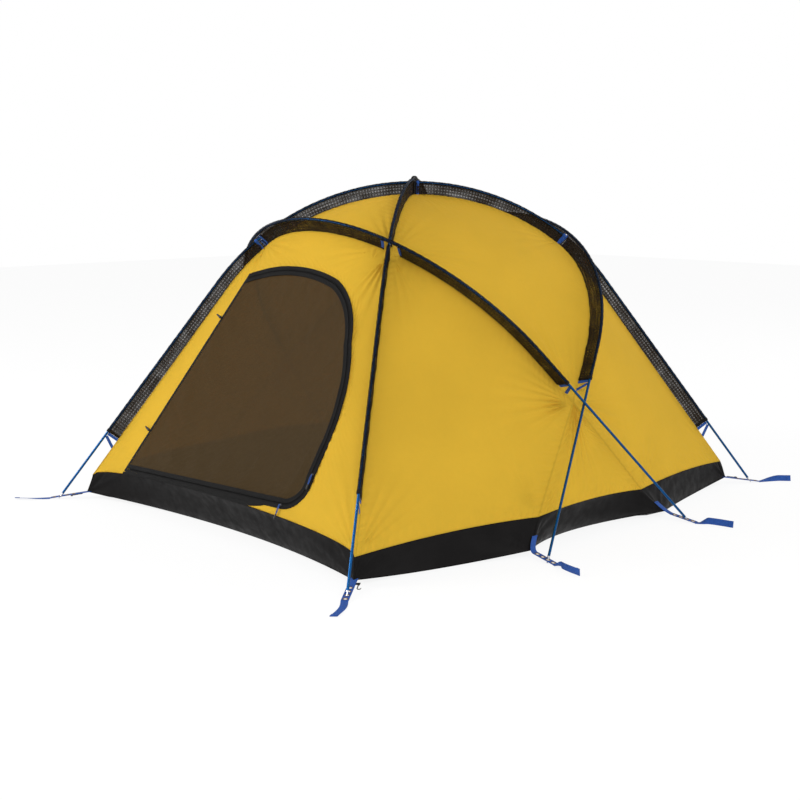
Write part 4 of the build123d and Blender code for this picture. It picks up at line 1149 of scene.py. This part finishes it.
def build_sleeves():
    outer_stops = [-LONG_END, -LONG_CROSSING, LONG_CROSSING, LONG_END]
    crossed = [-LONG_END, -LONG_CROSSING, 0.0, LONG_CROSSING, LONG_END]
    hoop_stops = [-HOOP_END, -HOOP_CROSSING, HOOP_CROSSING, HOOP_END]
    sleeve("net_sleeve_long_upper", "long_sleeve_upper", UPPER_POLE, outer_stops,
           [RAKED_OPENING] * 2, over_pole=False, tape=3)
    sleeve("net_sleeve_long_lower", "long_sleeve_lower", LOWER_POLE, crossed,
           [CLOSE_OPENING] * 3)
    for end, arch, openings in (("front", FRONT_HOOP, [CLOSE_OPENING, WIDE_OPENING]),
                                ("rear", REAR_HOOP, [WIDE_OPENING, CLOSE_OPENING])):
        sleeve(f"net_sleeve_{end}_hoop", f"{end}_hoop_sleeve", arch, hoop_stops,
               openings, [-HOOP_CROSSING, HOOP_CROSSING], over_pole=False)
    surface = Surface()
    for arch, end in ((UPPER_POLE, LONG_END), (LOWER_POLE, LONG_END), (FRONT_HOOP, HOOP_END),
                      (REAR_HOOP, HOOP_END)):
        vee_tapes(surface, arch, end)
    surface.stand_in("sleeve_vee_tapes", [BLUE_WEBBING, THREAD], "sleeve_end_tapes", "tent_body",
                     "blue_webbing")


# ---------------------------------------------------------------- doors

CLOTH_FRAMES = 26
CLOTH_SLACK = 0.010              # how much larger the net is than its opening, as a share
CLOTH_SETTINGS = {"quality": 6, "mass": 0.02, "tension_stiffness": 12,
                  "compression_stiffness": 4, "bending_stiffness": 0.05, "air_damping": 3,
                  "vertex_group_mass": "pinned", "shrink_min": -CLOTH_SLACK}


def settled(grid):
    """Lets a sheet with pinned edges hang under its own weight, with Blender's cloth."""
    surface = Surface()
    surface.grid(grid)
    piece = surface.make("settling", [])
    rows, columns = grid.shape[:2]
    index = np.arange(rows * columns).reshape(rows, columns)
    border = np.unique(np.concatenate([index[0], index[-1], index[:, 0], index[:, -1]]))
    piece.vertex_groups.new(name="pinned").add(border.tolist(), 1.0, "REPLACE")
    cloth = piece.modifiers.new("cloth", "CLOTH")
    for key, value in CLOTH_SETTINGS.items():
        setattr(cloth.settings, key, value)
    cloth.point_cache.frame_end = CLOTH_FRAMES
    scene = bpy.context.scene
    for step in range(1, CLOTH_FRAMES + 1):
        scene.frame_set(step)
    settled_mesh = piece.evaluated_get(bpy.context.evaluated_depsgraph_get()).data
    points = np.array([vertex.co for vertex in settled_mesh.vertices]).reshape(grid.shape)
    bpy.data.objects.remove(piece)
    scene.frame_set(1)
    return points


NET_STEPS = 48
NET_LIFT = 0.0006                # of the net off the end panel's plane


def door_net_grid():
    """The door's net between its zip tape and the hinge line, hanging a little slack."""
    edge = door_line(2 * ZIP_TAPE)
    over, side = len(OVER_TOP), len(OVER_TOP) + len(DOWN_SIDE) - 1
    split = int(over * TOP_CORNER)
    top = resampled(edge[:split + 1], NET_STEPS)
    right = resampled(edge[split:side], NET_STEPS)[::-1]
    bottom = resampled(edge[side - 1:], NET_STEPS)[::-1]
    left = resampled([edge[-1], edge[0]], NET_STEPS)
    grid = on_door(coons(bottom, top, left, right), NET_LIFT)
    return settled(grid)


# a zip tape's section: the distance in from the opening's edge, and the lift
ZIP_PROFILE = ((-0.0045, -0.0006), (-0.0040, 0.0014), (0.002, 0.0013), (0.0105, 0.0009),
               (0.0115, 0.0016), (0.0125, 0.0022), (0.0135, 0.0016), (0.0145, -0.0004))
ZIP_MIRROR = 2 * ZIP_TAPE + 0.001   # less a distance, the door's: the mirrored tapes just meet
FACING_END = 0.300               # how far right the facing under the door reaches
FACING_PAST_HINGE = 0.012        # how far left of the hinge it starts
FACING_NARROWING = 0.12          # length of the stretch where it narrows to a point
FACING_GAP = 0.003               # between the facing and the seam to the band
FACING_PROFILE = ((0.0, 0.0004), (0.0, 0.0024), (0.5, 0.0030), (1.0, 0.0020), (1.0, 0.0002))


def zip_wave(points):
    """The zip's own slight waviness, the same on both of its tapes."""
    run = points[..., 0] * 23.0 + points[..., 2] * 31.0
    return 0.0016 + 0.0011 * np.sin(run) + 0.0005 * np.sin(2.3 * run + 1.0)


def zip_band(surface, profile, turn):
    rows = []
    for distance, lift in profile:
        points = on_door(door_line(distance))
        rows.append((points + DOOR_OUT * (lift + zip_wave(points))[:, None]) * turn)
    surface.grid(np.array(rows))


def foot_facing(surface, turn):
    """The black facing between the door's foot and the band; it narrows to a point."""
    x = np.linspace(HINGE_FOOT[0] - FACING_PAST_HINGE, FACING_END, 60)
    door_foot = np.interp(x, [HINGE_FOOT[0], DOOR_TOE_END[0]], [HINGE_FOOT[1], DOOR_TOE_END[1]])
    seam_height = BAND_ARCH_END * bow((x / BAND_CORNER[0] + 1) / 2) ** END_FULLNESS
    closing = np.clip((FACING_END - x) / FACING_NARROWING, 0, 1) ** 0.7
    drop = (seam_height - FACING_GAP - door_foot) * closing
    rows = [on_door(np.stack([x, door_foot + drop * down], -1), lift) * turn
            for down, lift in FACING_PROFILE]
    surface.grid(np.array(rows))


HINGE_TAPE = (0.012, 0.001)      # width and thickness
HINGE_TAPE_LIFT = 0.0012
HINGE_STITCHES = 0.004           # from the middle of the tape to each row


def hinge_tape(surface, turn):
    """A narrow black binding on the canopy along the door's sewn edge."""
    foot, head = on_door(HINGE_FOOT), on_door(HINGE_HEAD)
    across = np.cross(unit(head - foot), DOOR_OUT)
    centres = (np.linspace(foot, head, 40) - across * HINGE_TAPE[0] / 2
               + DOOR_OUT * HINGE_TAPE_LIFT)
    surface.strip(centres * turn, across * turn, DOOR_OUT * turn, *HINGE_TAPE, 1)
    for edge in (-HINGE_STITCHES, HINGE_STITCHES):
        row = centres + across * edge + DOOR_OUT * HINGE_TAPE[1] / 2
        stitches(surface, row * turn, DOOR_OUT * turn, 2)


def pebble(surface, centre, axes, size, power):
    """A soft-cornered block; the smaller the power, the squarer it is."""
    u = np.linspace(-math.pi / 2, math.pi / 2, 11)[:, None]
    v = round_angles(24)

    def bent(value):
        return np.sign(value) * np.abs(value) ** power

    parts = (bent(np.cos(u)) * bent(np.cos(v)), bent(np.cos(u)) * bent(np.sin(v)),
             bent(np.sin(u)) * np.ones_like(v))
    surface.grid(centre + sum(part[..., None] * axis * length / 2
                              for part, axis, length in zip(parts, axes, size)), closed=True)


PLATE = (0.013, 0.009, 0.0011)   # lengths along the zip, across it and out of it
PLATE_LIFTS = (-0.0011, 0.0009)
WEDGE = (0.0075, 0.0032, 0.0030)
WEDGE_BACK = 0.002               # from the slider's middle to the wedge between the plates
BAR_RADIUS = 0.0008              # of the bridge that holds the pull
BAR_LIFT = 0.0014
BAR_RISE = 0.0020
BAR_REACH = 0.0045


def build_slider(end, name, turn):
    """A zip slider: two plates round the coil and a bridge that holds the pull."""
    node = f"{end}_{name}_zip_slider"
    low, high = (np.array(corner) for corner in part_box(node))
    centre = (low + high) / 2
    along = unit(JOINTS[f"{end}_{name}_slider_travel"]["axis"])
    out = DOOR_OUT * turn
    axes = (along, np.cross(out, along), out)
    surface = Surface()
    for lift in PLATE_LIFTS:
        pebble(surface, centre + out * lift, axes, PLATE, 0.4)
    pebble(surface, centre - along * WEDGE_BACK, axes, WEDGE, 0.6)
    angle = np.linspace(0, math.pi, 9)[:, None]
    bar = (centre + out * (BAR_LIFT + BAR_RISE * np.sin(angle))
           - along * BAR_REACH * np.cos(angle))
    rod(surface, bar, BAR_RADIUS)
    surface.stand_in(f"{end}_{name}_slider_body", [SLIDER_METAL], node, f"{end}_{name}_slider",
                     "slider_metal")


CORD_RADIUS = 0.0014
CORD_GAP = 0.0011                # half the distance between the cord's two runs at the slider
CORD_LENGTH = 0.034
CORD_LIFT = 0.0012
CORD_SPREAD = 0.0016             # how much wider the gap is halfway down
LOOP_RISE = 0.0016               # of the cord's turn above the slider
# (radius, place along the cord) of the grip's outline: eleven steps make its ribs
GRIP = [(0.0014, 0.0)] + [(0.0030 + 0.0005 * (k % 2), 0.002 + 0.0016 * k)
                          for k in range(11)] + [(0.0014, 0.020)]


def build_pull(end, name, turn):
    """A doubled cord with a ribbed moulded grip."""
    down, out = -DOOR_UP * turn, DOOR_OUT * turn
    start = np.array(JOINTS[f"{end}_{name}_pull_swing"]["pos_m"]) + out * CORD_LIFT
    across = np.cross(out, down)
    surface = Surface()
    share = np.linspace(0, 1, 14)[:, None]
    for side in (-1, 1):
        spread = across * side * (CORD_GAP + CORD_SPREAD * np.sin(math.pi * share))
        rod(surface, start + down * CORD_LENGTH * share + spread, CORD_RADIUS)
    turn_back = np.linspace(0, math.pi, 8)[:, None]
    loop = across * CORD_GAP * np.cos(turn_back) - down * LOOP_RISE * np.sin(turn_back)
    rod(surface, start + loop, CORD_RADIUS)
    lathe(surface, start + down * (CORD_LENGTH - 0.001), down, GRIP, 1, 14)
    surface.stand_in(f"{end}_{name}_pull_cord", [PULL_CORD, TOGGLE_PLASTIC],
                     f"{end}_{name}_zip_pull", f"{end}_{name}_pull", "pull_cord")


TOGGLE_LOOP = (0.006, 0.0022)    # width and thickness of the webbing
TOGGLE_TAIL = 0.001              # of the webbing behind the hinge line
TOGGLE_REACH = 0.010             # from the hinge line to the bar
TOGGLE_BAR = ((0.0030, -0.005), (0.0052, -0.002), (0.0054, 0.003), (0.0042, 0.005),
              (0.0048, 0.009), (0.0038, 0.013), (0.0042, 0.017), (0.0032, 0.022),
              (0.0028, 0.029), (0.0014, 0.032))


def build_toggle(end, name, turn):
    """A ribbed toggle on a webbing loop, pointing away from the door's hinge edge."""
    joint = JOINTS[f"{end}_{name}_toggle_swing"]
    root, along = np.array(joint["pos_m"]), unit(joint["axis"])
    out = DOOR_OUT * turn
    outwards = np.cross(out, along)
    surface = Surface()
    far = root + outwards * TOGGLE_REACH
    centres = np.linspace(root - outwards * TOGGLE_TAIL, far, 6)
    surface.strip(centres, along, out, *TOGGLE_LOOP, 1)
    lathe(surface, far, outwards, TOGGLE_BAR, 0, 14)
    surface.stand_in(f"{end}_{name}_toggle_bar", [TOGGLE_PLASTIC, BLACK_WEBBING],
                     f"{end}_{name}_toggle", f"{end}_{name}_toggle_loop", "toggle_plastic")


def build_doors():
    net_grid = door_net_grid()
    door_profile = [(ZIP_MIRROR - distance, lift) for distance, lift in ZIP_PROFILE]
    for end, turn in (("front", np.ones(3)), ("rear", HALF_TURN)):
        mesh, door_tape, body_tape = Surface(), Surface(), Surface()
        mesh.grid(net_grid * turn)
        mesh.stand_in(f"{end}_door_net", [INSECT_NET], f"{end}_door_mesh", f"{end}_door",
                      "insect_mesh")
        zip_band(door_tape, door_profile[::-1], turn)
        door_tape.stand_in(f"{end}_door_zip", [ZIP_TAPE_CLOTH], f"{end}_door_zip_tape",
                           f"{end}_door", "zip_tape")
        zip_band(body_tape, ZIP_PROFILE, turn)
        foot_facing(body_tape, turn)
        hinge_tape(body_tape, turn)
        body_tape.stand_in(f"{end}_body_zip", [ZIP_TAPE_CLOTH, BLACK_WEBBING, THREAD],
                           f"{end}_body_zip_tape", "tent_body", "zip_tape")
        for name in ("side", "foot"):
            build_slider(end, name, turn)
            build_pull(end, name, turn)
        for name in ("lower", "upper"):
            build_toggle(end, name, turn)


# ---------------------------------------------------------------- straps at the pole feet

EYELETS_IN = 2.5                 # eyelet cells from the pole's tip to the strap's plain root
EYELETS_OUT = 1.5                # and out to its plain end


class Foot:
    """A webbing strap from a floor corner out to a pole's tip, and its free tail.

    A place is measured along the strap, outwards from the pole's tip."""

    def __init__(self, name, arch, side, corner, band_top):
        self.name = name
        self.side_strap = name.startswith("side")
        self.corner, self.band_top = corner, band_top
        self.tip = arch.points(side * arch.run_at_height(STRAP_TIP_HEIGHT))
        self.out = unit(self.tip - corner)
        self.across = unit(np.cross(UP, self.out))
        self.normal = np.cross(self.out, self.across)
        joint = JOINTS[f"{name}_tail_lift"]
        self.pivot = np.array(joint["pos_m"])
        self.tail_out = unit(np.cross(UP, joint["axis"]))
        self.eyelets = [(1 - index) * EYELET_SPACING for index in range(4)]

    def at(self, place, across=0.0, lift=0.0):
        return self.tip + self.out * place + self.across * across + self.normal * lift


def all_feet():
    feet = []
    for end_name, end in (("front", -1), ("rear", 1)):
        for side_name, side in (("left", -1), ("right", 1)):
            flip = np.array([side, -end, 1.0])
            arch = UPPER_POLE if side * end < 0 else LOWER_POLE
            feet.append(Foot(f"corner_{end_name}_{side_name}", arch, side,
                             CORNER * flip, BAND_CORNER * flip))
            hoop = REAR_HOOP if end < 0 else FRONT_HOOP
            feet.append(Foot(f"side_{end_name}_{side_name}", hoop, side,
                             SIDE_CORNER * flip, BAND_SIDE * flip))
    return feet


PUNCHED_HOLE = 0.006             # radius of the hole under an eyelet


def punched(surface, foot, place):
    """A length of webbing with a round hole for an eyelet."""
    x, y = EYELET_SPACING / 2, WEBBING_WIDTH / 2
    corner = math.atan2(y, x)
    stops = [-corner, corner, math.pi - corner, math.pi + corner, 2 * math.pi - corner]
    angles = np.concatenate([np.linspace(a, b, 7)[:-1] for a, b in zip(stops, stops[1:])])
    cos, sin = np.cos(angles), np.sin(angles)
    rim = 1 / np.maximum(np.abs(cos) / x, np.abs(sin) / y)
    rows = []
    for radius, face in ((PUNCHED_HOLE, 1), (rim, 1), (rim, -1), (PUNCHED_HOLE, -1)):
        radii = np.broadcast_to(radius, len(angles))
        rows.append([foot.at(place + r * c, r * s, face * WEBBING / 2)
                     for r, c, s in zip(radii, cos, sin)])
    surface.grid(np.array(rows), closed=True, looped=True)


ROOT_LENGTH = 0.020              # of a corner strap that is sewn under the floor
PATCH_HEIGHT = 0.058             # how far a side strap is sewn up the band
PATCH_LIFT = 0.004
PATCH_OUT = 0.004


def strap_root(foot):
    """Centres of the strap from its sewn end to the first eyelet cell."""
    inner = foot.at(-EYELETS_IN * EYELET_SPACING)
    if not foot.side_strap:
        return line(foot.corner - foot.out * ROOT_LENGTH, inner, 14)
    bend = foot.corner + foot.normal * PATCH_LIFT
    start = bend + unit(foot.band_top - foot.corner) * PATCH_HEIGHT + foot.out * PATCH_OUT
    share = np.linspace(0, 1, 22)[:, None]
    return start * (1 - share) ** 2 + 2 * bend * share * (1 - share) + inner * share ** 2


TAIL_STEPS = 36
TAIL_CURVE = 0.006
TWIST_START = 0.06               # share of the tail that lies flat before it twists
TWIST_SPAN_SIDE = 0.25           # share over which a side strap's tail twists
TWIST_SPAN_CORNER = 0.6
FOLD_POINTS = 5                  # of the centre line that the tail's folded end covers


def tail_sweep(surface, foot, twist):
    """The strap's end beyond the eyelets and its tail, which lies on the ground and twists."""
    span = TWIST_SPAN_SIDE if foot.side_strap else TWIST_SPAN_CORNER
    near_end = foot.at(EYELETS_OUT * EYELET_SPACING)
    plain = np.linspace(near_end, foot.pivot + UP * WEBBING / 2, 4)[:-1]
    share = np.linspace(0, 1, TAIL_STEPS)
    angle = twist * np.clip((share - TWIST_START) / span, 0, 1) ** 1.3
    rise = np.abs(np.sin(angle)) * WEBBING_WIDTH / 2
    curve = TAIL_CURVE * np.sin(share * 4.0) * np.sign(twist)
    across = unit(np.cross(UP, foot.tail_out))
    far = (foot.pivot + foot.tail_out * TAIL_LENGTH * share[:, None]
           + UP * (WEBBING / 2 + rise)[:, None] + across * curve[:, None])
    centres = np.concatenate([plain, far])
    turned = np.concatenate([np.zeros(len(plain)), angle])[:, None]
    side = across * np.cos(turned) + UP * np.sin(turned)
    side[:len(plain)] = foot.across
    normal = unit(np.cross(np.gradient(centres, axis=0), side))
    surface.strip(centres, side, normal, WEBBING_WIDTH, WEBBING)
    end = slice(-FOLD_POINTS, None)
    surface.strip(centres[end] + normal[end] * WEBBING, side[end], normal[end],
                  WEBBING_WIDTH, WEBBING)


TACK_REACH = WEBBING_WIDTH / 2 - 0.002   # half the length of a row of stitches across a strap
TACK_PLACES = (-2.4, -2.6, 1.45)         # along the strap, in eyelet cells
PATCH_TACKS = (1, 9)                     # points of a side strap's root


def build_strap(foot, twist):
    """A strap with its tail and its rows of stitches."""
    surface = Surface()
    root = strap_root(foot)
    normals = np.cross(unit(np.gradient(root, axis=0)), foot.across)
    surface.strip(root, foot.across, normals, WEBBING_WIDTH, WEBBING)
    for place in foot.eyelets:
        punched(surface, foot, place)
    tail_sweep(surface, foot, twist)
    tacks = [(foot.at(place * EYELET_SPACING), foot.normal) for place in TACK_PLACES]
    if foot.side_strap:
        tacks += [(root[k], normals[k]) for k in PATCH_TACKS]
    for middle, normal in tacks:
        row = [middle + normal * WEBBING / 2 + foot.across * side
               for side in (-TACK_REACH, TACK_REACH)]
        stitches(surface, row, normal, 1, BAR_TACK_WIDTH)
    piece = surface.make(f"strap_{foot.name}", [BLUE_WEBBING, THREAD])
    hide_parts("foot_straps", f"{foot.name}_strap_tail")
    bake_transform(piece)


RING_HALF = 0.0011               # half the height of an eyelet's bore
RING = [(EYELET_HOLE, 0.0), (EYELET_HOLE + 0.0002, RING_HALF * 0.8), (0.0064, RING_HALF * 1.25),
        (0.0075, RING_HALF * 1.15), (EYELET_RADIUS, RING_HALF * 0.75)]
RING += [(radius, -height) for radius, height in reversed(RING[1:])]


def build_eyelets(feet):
    """Rolled brass eyelets."""
    surface = Surface()
    for foot in feet:
        for place in foot.eyelets:
            lathe(surface, foot.at(place), foot.normal, RING, closed_profile=True)
    surface.stand_in("brass_eyelets", [EYELET_BRASS], "strap_eyelets", "tent_body", "eyelet_brass")


HOOK_EYE_BACK = 0.0030           # from the pivot to the middle of the hook's eye
HOOK_EYE = [(0.0032 + 0.0010 * math.cos(a), 0.0010 * math.sin(a)) for a in round_angles(8)]
HOOK_SHANK = 0.022
HOOK_BEND = 0.006
HOOK_THICK, HOOK_THIN = 0.0018, 0.0012   # radius at the shank and at the point
TAB_WIDTH, TAB_THICKNESS = 0.015, 0.0014
TAB_BACK = 0.0111                # from the hook's pivot back to the middle of its tab
TAB_PAST = 0.004                 # how far the tab reaches past the hook's middle line


def build_hook(foot, name, pivot):
    """An open plastic hook: an eye on the tab, a shank and a bend that thins to its point."""
    hook = Surface()
    angle = np.linspace(-math.pi / 2, 0.62 * math.pi, 16)[:, None]
    centre = pivot + foot.out * HOOK_SHANK + foot.across * HOOK_BEND
    bend = centre + HOOK_BEND * (np.cos(angle) * foot.out + np.sin(angle) * foot.across)
    path = np.concatenate([np.linspace(pivot, bend[0], 8)[:-1], bend])
    swell = np.concatenate([np.full(10, HOOK_THICK),
                            np.linspace(HOOK_THICK, HOOK_THIN, len(path) - 10)])
    rod(hook, path, swell, 12)
    lathe(hook, pivot - foot.out * HOOK_EYE_BACK, foot.normal, HOOK_EYE, closed_profile=True)
    hook.stand_in(f"hook_{name}", [HOOK_PLASTIC], f"{name}_flysheet_hook", f"{name}_hook",
                  "hook_plastic")


def build_hooks(feet):
    """Flysheet hooks on short tabs beside the corner straps."""
    tabs = Surface()
    share = np.linspace(0, 1, 8)[:, None]
    for foot in feet:
        if foot.side_strap:
            continue
        name = foot.name.replace("corner_", "")
        pivot = np.array(JOINTS[f"{name}_hook_swing"]["pos_m"])
        offset = (pivot - foot.tip) @ foot.across
        reach = (pivot - foot.tip) @ foot.out - TAB_BACK
        inner = foot.at(reach, lift=-WEBBING)
        outer = foot.at(reach, offset + TAB_PAST * np.sign(offset))
        tabs.strip(inner * (1 - share) + outer * share, foot.out, foot.normal,
                   TAB_WIDTH, TAB_THICKNESS)
        build_hook(foot, name, pivot)
    tabs.stand_in("hook_tab_webbing", [BLACK_WEBBING], "hook_tabs", "tent_body", "black_webbing")


TWISTS = {"corner_front_left": 0.25, "corner_front_right": 0.06, "corner_rear_left": -1.2,
          "corner_rear_right": 1.35, "side_front_left": 1.1, "side_front_right": -1.5,
          "side_rear_left": -0.9, "side_rear_right": 1.35}     # of the tails, in radians


def build_feet():
    feet = all_feet()
    for foot in feet:
        build_strap(foot, TWISTS[foot.name])
    build_eyelets(feet)
    build_hooks(feet)


# ---------------------------------------------------------------- poles, kept from the CAD

def dress_poles():
    """Gives the CAD's own poles, ferrules, tips and cords their materials."""
    looks = {"long_pole_upper": POLE_ALLOY, "long_pole_lower": POLE_ALLOY,
             "front_hoop_pole": POLE_ALLOY, "rear_hoop_pole": POLE_ALLOY,
             "pole_ferrules": BARE_ALLOY, "pole_tips": BARE_ALLOY,
             "pole_shock_cords": SHOCK_CORD}
    for name, material in looks.items():
        mesh = frame["nodes"][name].data
        mesh.materials.clear()
        mesh.materials.append(material)


# ---------------------------------------------------------------- studio

BACKDROP_REACH = 14


def backdrop():
    """A pale floor that fades into a pale surround."""
    surface = Surface()
    surface.grid([[(x * BACKDROP_REACH, y * BACKDROP_REACH, 0) for x in (-1, 1)] for y in (-1, 1)])
    shader = Shader("studio_floor", (0.93, 0.93, 0.93), 0.8)
    shader.mottle((0.90, 0.90, 0.90), amount=0.1, scale=0.8, low=0.3, high=0.8)
    shader.mixed_with("Emission", 0.88, (1.0, 1.0, 1.0))
    surface.make("studio_floor", [shader.material])


def area_light(name, place, size, power):
    data = bpy.data.lights.new(name, "AREA")
    data.size = size
    data.energy = power
    lamp = bpy.data.objects.new(name, data)
    lamp.location = place
    lamp.rotation_euler = look_rotation(np.array(LIT_POINT) - np.array(place))
    bpy.context.collection.objects.link(lamp)


def look_rotation(direction):
    x, y, z = unit(direction)
    return (math.acos(-z), 0.0, math.atan2(-x, y))


LIT_POINT = (0, 0, 0.5)          # what the lamps point at
HORIZON_LIGHT = 1.0              # how strongly the pale surround lights the tent from the sides
ZENITH_LIGHT = 0.60              # and from above


def studio():
    backdrop()
    world = bpy.data.worlds.new("studio")
    world.use_nodes = True
    tree = world.node_tree
    sky = tree.nodes["Background"]
    sky.inputs["Color"].default_value = (1.0, 1.0, 1.0, 1.0)
    seen = tree.nodes.new("ShaderNodeLightPath").outputs["Is Camera Ray"]
    place = tree.nodes.new("ShaderNodeTexCoord").outputs["Generated"]
    height = tree.nodes.new("ShaderNodeSeparateXYZ")
    tree.links.new(place, height.inputs["Vector"])
    ring = tree.nodes.new("ShaderNodeMapRange")
    ring.inputs["To Min"].default_value = HORIZON_LIGHT
    ring.inputs["To Max"].default_value = ZENITH_LIGHT
    tree.links.new(height.outputs["Z"], ring.inputs["Value"])
    strength = tree.nodes.new("ShaderNodeMapRange")
    strength.inputs["To Max"].default_value = 1.0
    tree.links.new(ring.outputs["Result"], strength.inputs["To Min"])
    tree.links.new(seen, strength.inputs["Value"])
    tree.links.new(strength.outputs["Result"], sky.inputs["Strength"])
    bpy.context.scene.world = world
    area_light("key", (-4.0, -5.5, 3.6), size=2.6, power=300)
    area_light("fill", (6.0, -2.5, 3.5), size=5.0, power=190)
    area_light("back", (1.0, 5.5, 4.5), size=4.0, power=80)


LENS, SENSOR_WIDTH = 59.0, 36.0  # in millimetres
EYE = (3.852, -3.726, 1.295)
LOOKED_AT = (-0.040, -0.042, 0.383)


def camera():
    data = bpy.data.cameras.new("camera")
    data.lens = LENS
    data.sensor_width = SENSOR_WIDTH
    eye = bpy.data.objects.new("camera", data)
    eye.location = EYE
    eye.rotation_euler = look_rotation(np.array(LOOKED_AT) - np.array(EYE))
    bpy.context.collection.objects.link(eye)
    bpy.context.scene.camera = eye
    bpy.context.scene.view_settings.view_transform = "Standard"


build_canopy()
build_floor()
build_sleeves()
build_doors()
build_feet()
dress_poles()
studio()
camera()
